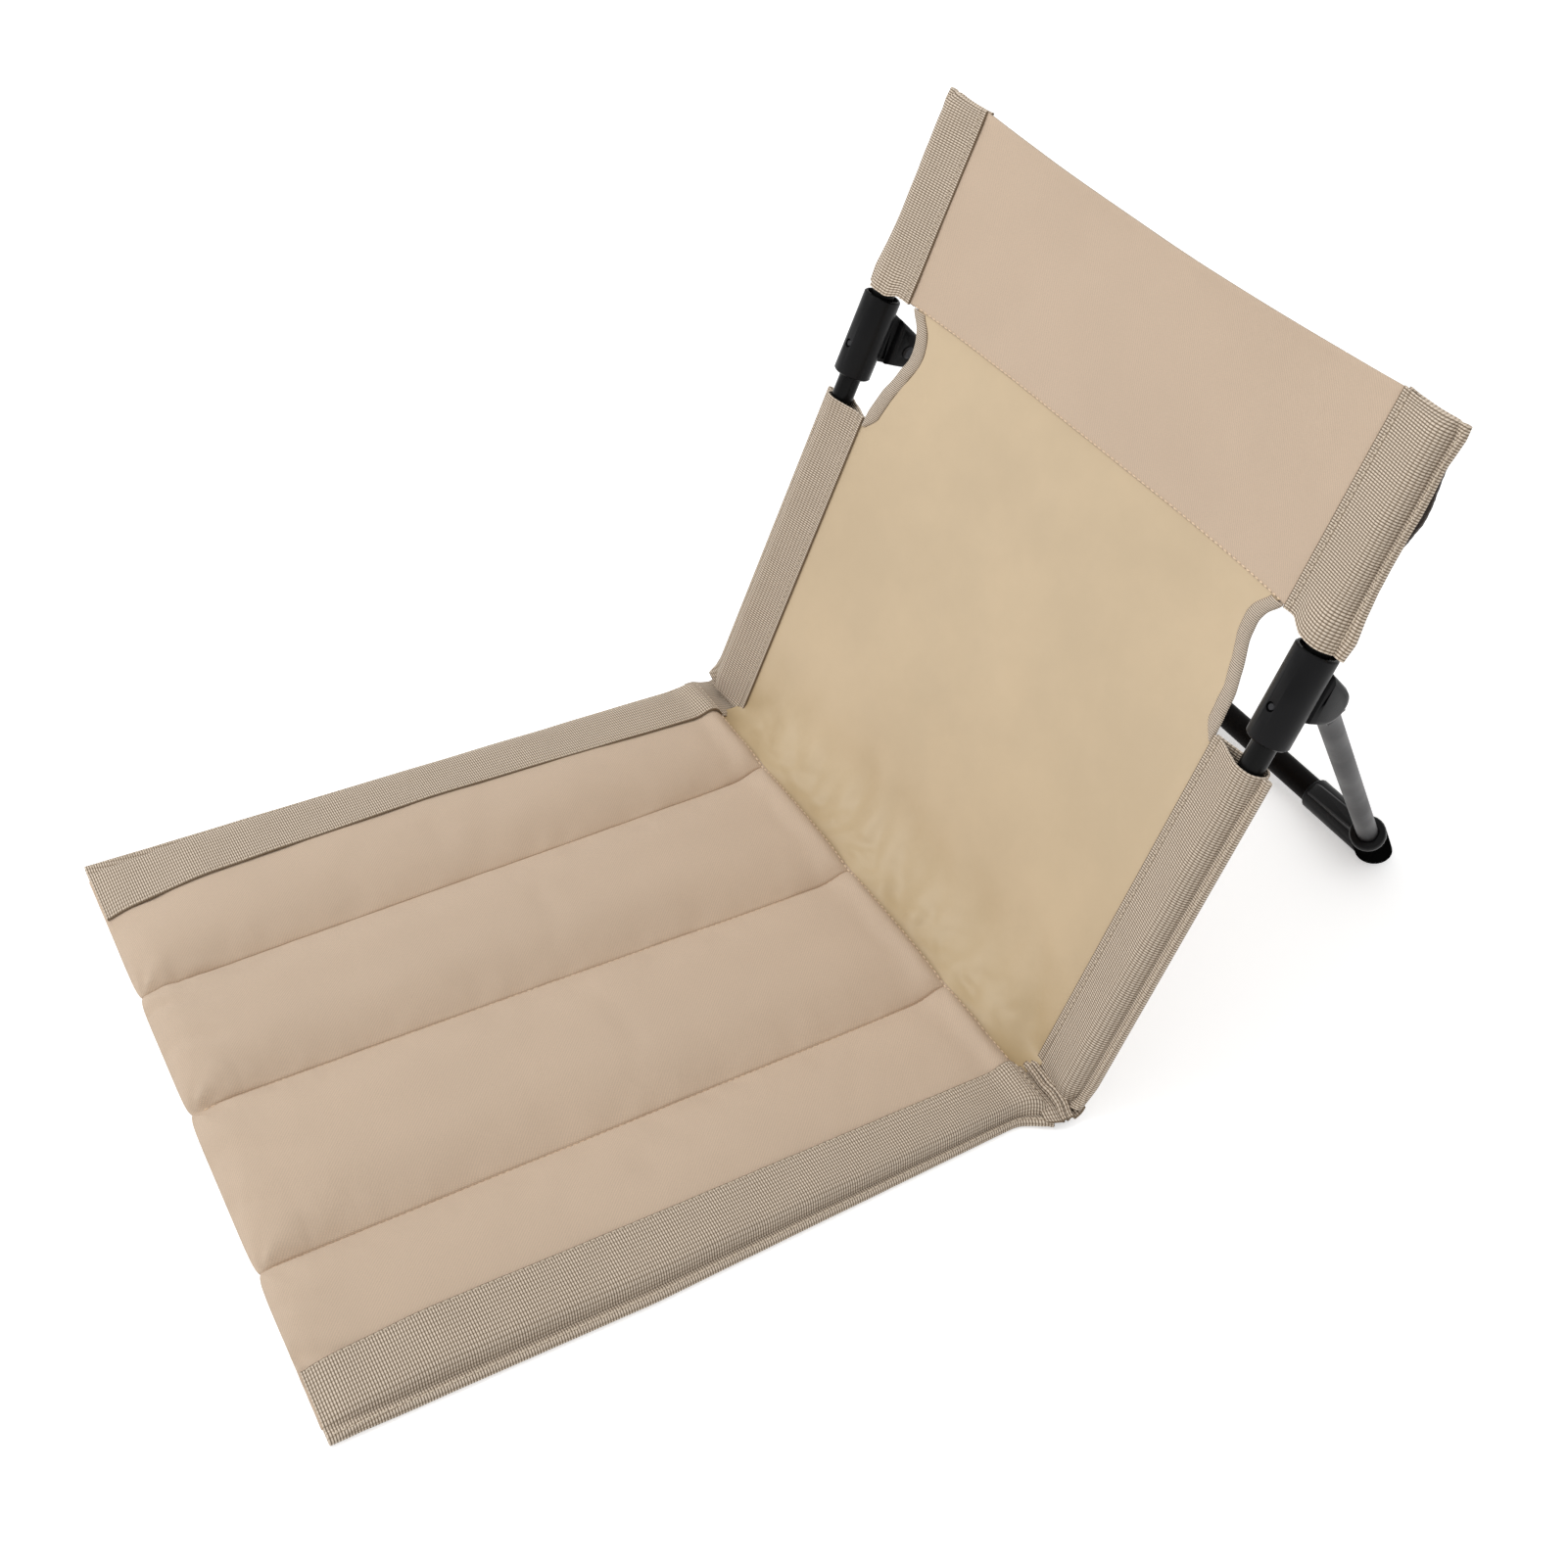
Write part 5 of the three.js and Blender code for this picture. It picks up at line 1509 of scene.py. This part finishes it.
class ChairCorners(bpy.types.Operator):
    """Makes the corners, where the mat's webbing turns up into the lower sleeves, the right one crumpled"""

    bl_idname = "floor_chair.corners"
    bl_label = "Webbing Corners"

    def execute(self, context):
        columns, rows = 48, 80
        for side, name in SIDES:
            line = [Vector((0, SEAM_Y + y, SEAM_Z + z)) for y, z in (ROPE_LINE if side > 0 else PLAIN_LINE)]
            line += [on_back(0, up, behind) for up, behind in INTO_SLEEVE]
            spots, length = walked(rounded(line), rows + 1)
            bowed = 1 if side > 0 else 0.3

            def place(a, b):
                spot = spots[round(b * rows)]
                x = mix(CLOTH_EDGE + 0.0004, HALF_WIDTH - 0.0002, a)
                loose = smooth((b - 0.2) / 0.2) * (1 - smooth((b - 0.80) / 0.15))
                crush = CRUSH * loose * soft_noise((x, b * 0.010, side), 0.010, 6.0)
                bow = loose * (BOW * math.sin(math.pi * a) + OUTER_BOW * smooth((a - 0.75) / 0.25)) * bowed
                sunk = SUNK * loose * (1 - smooth(a / 0.10))
                outer = smooth((a - 0.72) / 0.28) * (1 - smooth((b - 0.84) / 0.12))
                height = mix(spot.z + crush - sunk, OUTER_END_HEIGHT + 0.35 * (spot.z - SEAM_Z), outer)
                y = spot.y + crush * 0.6 - bow
                return Vector((strayed(side * x, spot.y), y, max(LEAST_HEIGHT, height)))

            bm = laid_grid(columns, rows, place, lambda a, b: (min(a, 1 - a) * CORNER_WIDTH, b * length))
            bmesh.ops.recalc_face_normals(bm, faces=bm.faces)
            piece = new_piece("webbing_corner_" + name, bm, webbing_finish())
            thickened(piece, CORNER_THICKNESS)
            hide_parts("corner_tab_" + name)
            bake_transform(piece)
        return {"FINISHED"}


WELT_RADIUS = 0.0008
WELT_UNEVEN = 0.0002
WELT_RISE = 0.0004


class ChairHingeSeam(bpy.types.Operator):
    """Makes the rolled seam that joins the mat to the back"""

    bl_idname = "floor_chair.hinge_seam"
    bl_label = "Hinge Seam"

    def execute(self, context):
        columns, rows = 12, 220
        end = CLOTH_EDGE + 0.006

        def place(a, b):
            turn = 2 * math.pi * a
            x = mix(-end, end, b)
            radius = WELT_RADIUS + WELT_UNEVEN * soft_noise((x, 0, 0), 0.008, 3.0)
            return Vector((x, SEAM_Y + radius * math.cos(turn), SEAM_Z + WELT_RISE + radius * math.sin(turn)))

        bm = laid_grid(columns, rows, place, lambda a, b: (a * 0.007, b * 2 * end))
        bmesh.ops.remove_doubles(bm, verts=bm.verts, dist=0.00001)
        bmesh.ops.holes_fill(bm, edges=[edge for edge in bm.edges if edge.is_boundary])
        bmesh.ops.recalc_face_normals(bm, faces=bm.faces)
        piece = new_piece("hinge_welt", bm, oxford_finish())
        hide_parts("hinge_seam")
        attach(piece, "seat")
        return {"FINISHED"}


LINE_STEPS = 120
ABOVE = 0.03
FLAT_LIFT = 0.1
# How far the stitch lines lie from the edges of their pieces, and how far across they run.
MAT_ENDS = 0.005
REAR_ROW = 0.0016
REAR_ROW_HALF = 0.157
EDGE_ROWS = (CLOTH_EDGE + 0.0010, HALF_WIDTH - 0.0026)
EDGE_END_ROW = 0.0026
EDGE_END_ACROSS = (0.1615, 0.1975)
LOWER_ROWS_FOOT = 0.026
SLEEVE_ENDS = 0.003
HEM_ROW = 0.0013
HEM_ROW_HALF = 0.156


def spread(first, last, steps=LINE_STEPS):
    """Evenly spaced values from first to last."""
    return [mix(first, last, i / steps) for i in range(steps + 1)]


def over_mat(x, first, last):
    """A line over the mat from one row to another, as it has strayed."""
    return [Vector((strayed(x, y), y, ABOVE)) for y in spread(first, last)]


class ChairStitching(bpy.types.Operator):
    """Sews the stitch lines of the mat, the webbing, the headband and the hinge seam"""

    bl_idname = "floor_chair.stitching"
    bl_label = "Stitching"

    def execute(self, context):
        down = Vector((0, 0, -1))
        pad = surface_of(bpy.data.objects["mat_pad"])
        lines = [over_mat(x, mat_front(x) + MAT_ENDS, MAT_REAR - MAT_ENDS) for x in stitch_lines()]
        lines.append([Vector((x, MAT_REAR - REAR_ROW, ABOVE)) for x in spread(-REAR_ROW_HALF, REAR_ROW_HALF)])
        lines = [dropped_line(pad, line, down) for line in lines]
        sewn_lines("mat_stitches", lines, "seat", thread_finish())

        lines = []
        for side, name in SIDES:
            edge = surface_of(bpy.data.objects["mat_webbing_" + name])
            for x in EDGE_ROWS:
                line = over_mat(side * x, MAT_FRONT + 0.003, MAT_REAR - 0.004)
                lines.append(dropped_line(edge, line, down))
            y = MAT_REAR - EDGE_END_ROW
            across = [Vector((strayed(side * x, y), y, ABOVE)) for x in spread(*EDGE_END_ACROSS, 40)]
            lines.append(dropped_line(edge, across, down))
        sewn_lines("mat_webbing_stitches", lines, "seat", webbing_thread_finish(), FLAT_LIFT)

        lines = []
        sleeves = (
            ("lower", LOWER_ROWS_FOOT, LOWER_MOUTH - SLEEVE_ENDS, 0.0026),
            ("upper", UPPER_MOUTH + SLEEVE_ENDS, BACK_HEIGHT - SLEEVE_ENDS, 0.0042),
        )
        for side, name in SIDES:
            for kind, bottom, top, from_edge in sleeves:
                sleeve = surface_of(bpy.data.objects[f"{kind}_webbing_sleeve_{name}"])
                for x in (CLOTH_EDGE + SELVEDGE_ROW, HALF_WIDTH - from_edge):
                    for way in (BEHIND, -BEHIND):
                        points = [on_back(side * x, up, 0) - way * ABOVE for up in spread(bottom, top)]
                        lines.append(dropped_line(sleeve, points, way))
        sewn_lines("sleeve_stitches", lines, "back_frame", webbing_thread_finish(), FLAT_LIFT)

        band = surface_of(bpy.data.objects["headband_cloth"])
        lines = []
        for way in (BEHIND, -BEHIND):
            across = spread(-HEM_ROW_HALF, HEM_ROW_HALF)
            points = [on_back(x, UPPER_MOUTH + HEM_ROW, 0) - way * ABOVE for x in across]
            lines.append(dropped_line(band, points, way))
        sewn_lines("headband_stitches", lines, "back_frame", thread_finish())
        return {"FINISHED"}


# Tubes and fittings

SHARP = math.radians(32)


def refined(name, node, body, material, edge=0):
    """A fitting in the place of its node, with its edges rounded where an edge width is given."""
    bm = bmesh.new()
    bm.from_mesh(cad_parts[node].data)
    bmesh.ops.remove_doubles(bm, verts=bm.verts, dist=0.000002)
    bmesh.ops.dissolve_limit(bm, angle_limit=math.radians(0.6), verts=bm.verts, edges=bm.edges)
    bmesh.ops.recalc_face_normals(bm, faces=bm.faces)
    piece = new_piece(name, bm, material)
    piece.data.materials.clear()
    piece.data.materials.append(material)
    if edge:
        rounding = {"width": edge, "segments": 2, "limit_method": "ANGLE", "angle_limit": SHARP}
        finished(piece, ("BEVEL", rounding | {"use_clamp_overlap": True}))
    piece.data.set_sharp_from_angle(angle=SHARP)
    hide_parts(node)
    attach(piece, body)


def plastic_part(kind, side, body, edge=0):
    """A black plastic fitting of one side."""
    refined(f"{kind}_dressed_{side}", f"{kind}_{side}", body, plastic_finish(), edge)


def steel_part(kind, side, body):
    """A dark steel fitting of one side."""
    refined(f"{kind}_dressed_{side}", f"{kind}_{side}", body, steel_finish())


class ChairUprights(bpy.types.Operator):
    """Makes the uprights with their plugs and rivets"""

    bl_idname = "floor_chair.uprights"
    bl_label = "Uprights"

    def execute(self, context):
        body = "back_frame"
        for side in ("left", "right"):
            refined("upright_tube_" + side, "upright_" + side, body, black_tube_finish())
            plastic_part("upright_foot_plug", side, body)
            plastic_part("upright_top_plug", side, body)
            steel_part("bracket_rivet", side, body)
        return {"FINISHED"}


class ChairBrackets(bpy.types.Operator):
    """Makes the hinge brackets with their pivot pins"""

    bl_idname = "floor_chair.brackets"
    bl_label = "Hinge Brackets"

    def execute(self, context):
        body = "back_frame"
        for side in ("left", "right"):
            plastic_part("hinge_bracket", side, body, 0.4 * MM)
            steel_part("leg_pivot_pin", side, body)
        return {"FINISHED"}


class ChairLegFrame(bpy.types.Operator):
    """Makes the folding leg frame: tongues, tubes, corner connectors, foot caps and the crossbar"""

    bl_idname = "floor_chair.leg_frame"
    bl_label = "Leg Frame"

    def execute(self, context):
        body = "rear_leg_frame"
        for side in ("left", "right"):
            plastic_part("leg_tongue", side, body, 0.3 * MM)
            refined("leg_tube_dressed_" + side, "leg_tube_" + side, body, grey_tube_finish())
            plastic_part("corner_connector", side, body, 0.5 * MM)
            cap = "foot_cap_dressed_" + side
            refined(cap, "foot_cap_" + side, body, rubber_finish(), 0.4 * MM)
        refined("crossbar_tube", "crossbar", body, bar_tube_finish())
        return {"FINISHED"}


# Stage

# The photograph's camera, as fitted to the corners of the seat and the back: which ways are right, up and
# back to it, its place and its lens.
CAMERA_RIGHT = (0.48980, 0.87023, 0.05294)
CAMERA_UP = (-0.58540, 0.28327, 0.75965)
CAMERA_BACK = (0.64607, -0.40307, 0.64817)
CAMERA_PLACE = (0.67313, -0.43439, 0.77058)
CAMERA_LENS = 45.27
CAMERA_SENSOR = 36
WHITE = (1, 1, 1, 1)

# The lamps: their places, what they are aimed at and the length of their sides.
KEY_LAMP = ((-0.9, -1.5, 1.9), (0, -0.05, 0.1), 1.6)
FILL_LAMP = ((1.9, -0.8, 1.5), (0, 0, 0.1), 1.5)


def area_lamp(name, place, aim, side, power):
    """A square lamp at a place, aimed at another."""
    data = bpy.data.lights.new(name, "AREA")
    data.shape = "RECTANGLE"
    data.size = data.size_y = side
    data.energy = power
    lamp = bpy.data.objects.new(name, data)
    lamp.location = place
    lamp.rotation_mode = "QUATERNION"
    lamp.rotation_quaternion = (Vector(aim) - Vector(place)).to_track_quat("-Z", "Y")
    bpy.context.scene.collection.objects.link(lamp)


def studio_floor():
    """The pale floor, which shows the camera and the glossy parts a little more light than it gets."""
    settings = stage_settings()
    bm = bmesh.new()
    bmesh.ops.create_grid(bm, x_segments=1, y_segments=1, size=settings.floor_size / 2)
    mesh = bpy.data.meshes.new("studio_floor")
    bm.to_mesh(mesh)
    bm.free()
    floor = bpy.data.objects.new("studio_floor", mesh)
    bpy.context.scene.collection.objects.link(floor)
    finish = Finish("studio_floor")
    colour = colour_settings().floor
    clouds = finish.clouds(finish.object_place(), 2.0, 2.0)
    paths = finish.node("ShaderNodeLightPath")
    seen = finish.sum("MAXIMUM", paths.outputs["Is Camera Ray"], paths.outputs["Is Glossy Ray"])
    finish.surface(
        colour=finish.blend(clouds, shade(colour, 0.99), colour),
        roughness=0.9,
        specular=0.0,
        glow=finish.sum("MULTIPLY", seen, settings.floor_glow),
        glow_colour=WHITE,
    )
    mesh.materials.append(finish.material)


def studio_light():
    """The even light from all sides, shown to the camera as white."""
    strength = stage_settings().sky_strength
    world = bpy.data.worlds.new("studio_light")
    world.use_nodes = True
    nodes, links = world.node_tree.nodes, world.node_tree.links
    background = nodes["Background"]
    background.inputs["Color"].default_value = WHITE
    paths = nodes.new("ShaderNodeLightPath")
    seen = nodes.new("ShaderNodeMath")
    seen.operation = "MULTIPLY_ADD"
    links.new(paths.outputs["Is Camera Ray"], seen.inputs[0])
    seen.inputs[1].default_value = 1.0 - strength
    seen.inputs[2].default_value = strength
    links.new(seen.outputs[0], background.inputs["Strength"])
    bpy.context.scene.world = world


def photo_camera():
    """The camera at the photograph's viewing angle."""
    camera = bpy.data.objects.new("photo_camera", bpy.data.cameras.new("photo_camera"))
    camera.data.sensor_width = CAMERA_SENSOR
    camera.data.lens = CAMERA_LENS
    camera.data.clip_start, camera.data.clip_end = 0.01, 50
    camera.rotation_mode = "QUATERNION"
    camera.rotation_quaternion = Matrix((CAMERA_RIGHT, CAMERA_UP, CAMERA_BACK)).transposed().to_quaternion()
    camera.location = CAMERA_PLACE
    bpy.context.scene.collection.objects.link(camera)
    bpy.context.scene.camera = camera


class ChairStage(bpy.types.Operator):
    """Makes the pale floor, the soft lamps and the camera"""

    bl_idname = "floor_chair.stage"
    bl_label = "Stage"

    def execute(self, context):
        settings = stage_settings()
        studio_floor()
        studio_light()
        context.scene.view_settings.view_transform = "Standard"
        area_lamp("key_lamp", *KEY_LAMP, settings.key_power)
        area_lamp("fill_lamp", *FILL_LAMP, settings.fill_power)
        photo_camera()
        return {"FINISHED"}


PIECE_OPERATORS = (
    ChairStage,
    ChairMatPad,
    ChairMatWebbing,
    ChairBackPanel,
    ChairHeadband,
    ChairCutoutBindings,
    ChairUprights,
    ChairSleeves,
    ChairHookStrips,
    ChairCorners,
    ChairHingeSeam,
    ChairBrackets,
    ChairLegFrame,
    ChairStitching,
)


class FloorChairPanel(bpy.types.Panel):
    """The sizes, colours and pieces of the floor chair."""

    bl_idname = "VIEW3D_PT_floor_chair"
    bl_label = "Floor Chair"
    bl_space_type = "VIEW_3D"
    bl_region_type = "UI"
    bl_category = "Floor Chair"

    def draw(self, context):
        for settings in (cloth_settings(), colour_settings(), stage_settings()):
            box = self.layout.box()
            for name in settings.bl_rna.properties.keys():
                if name not in ("rna_type", "name"):
                    box.prop(settings, name)
        for operator in PIECE_OPERATORS:
            self.layout.operator(operator.bl_idname)


CLASSES = (ChairClothSettings, ChairColourSettings, ChairStageSettings) + PIECE_OPERATORS + (FloorChairPanel,)


def register():
    for made in CLASSES:
        bpy.utils.register_class(made)
    bpy.types.Scene.chair_cloth = PointerProperty(type=ChairClothSettings)
    bpy.types.Scene.chair_colours = PointerProperty(type=ChairColourSettings)
    bpy.types.Scene.chair_stage = PointerProperty(type=ChairStageSettings)


def unregister():
    del bpy.types.Scene.chair_stage
    del bpy.types.Scene.chair_colours
    del bpy.types.Scene.chair_cloth
    for made in reversed(CLASSES):
        bpy.utils.unregister_class(made)


def main():
    register()
    for operator in PIECE_OPERATORS:
        group, name = operator.bl_idname.split(".")
        getattr(getattr(bpy.ops, group), name)()


if __name__ == "__main__":
    main()
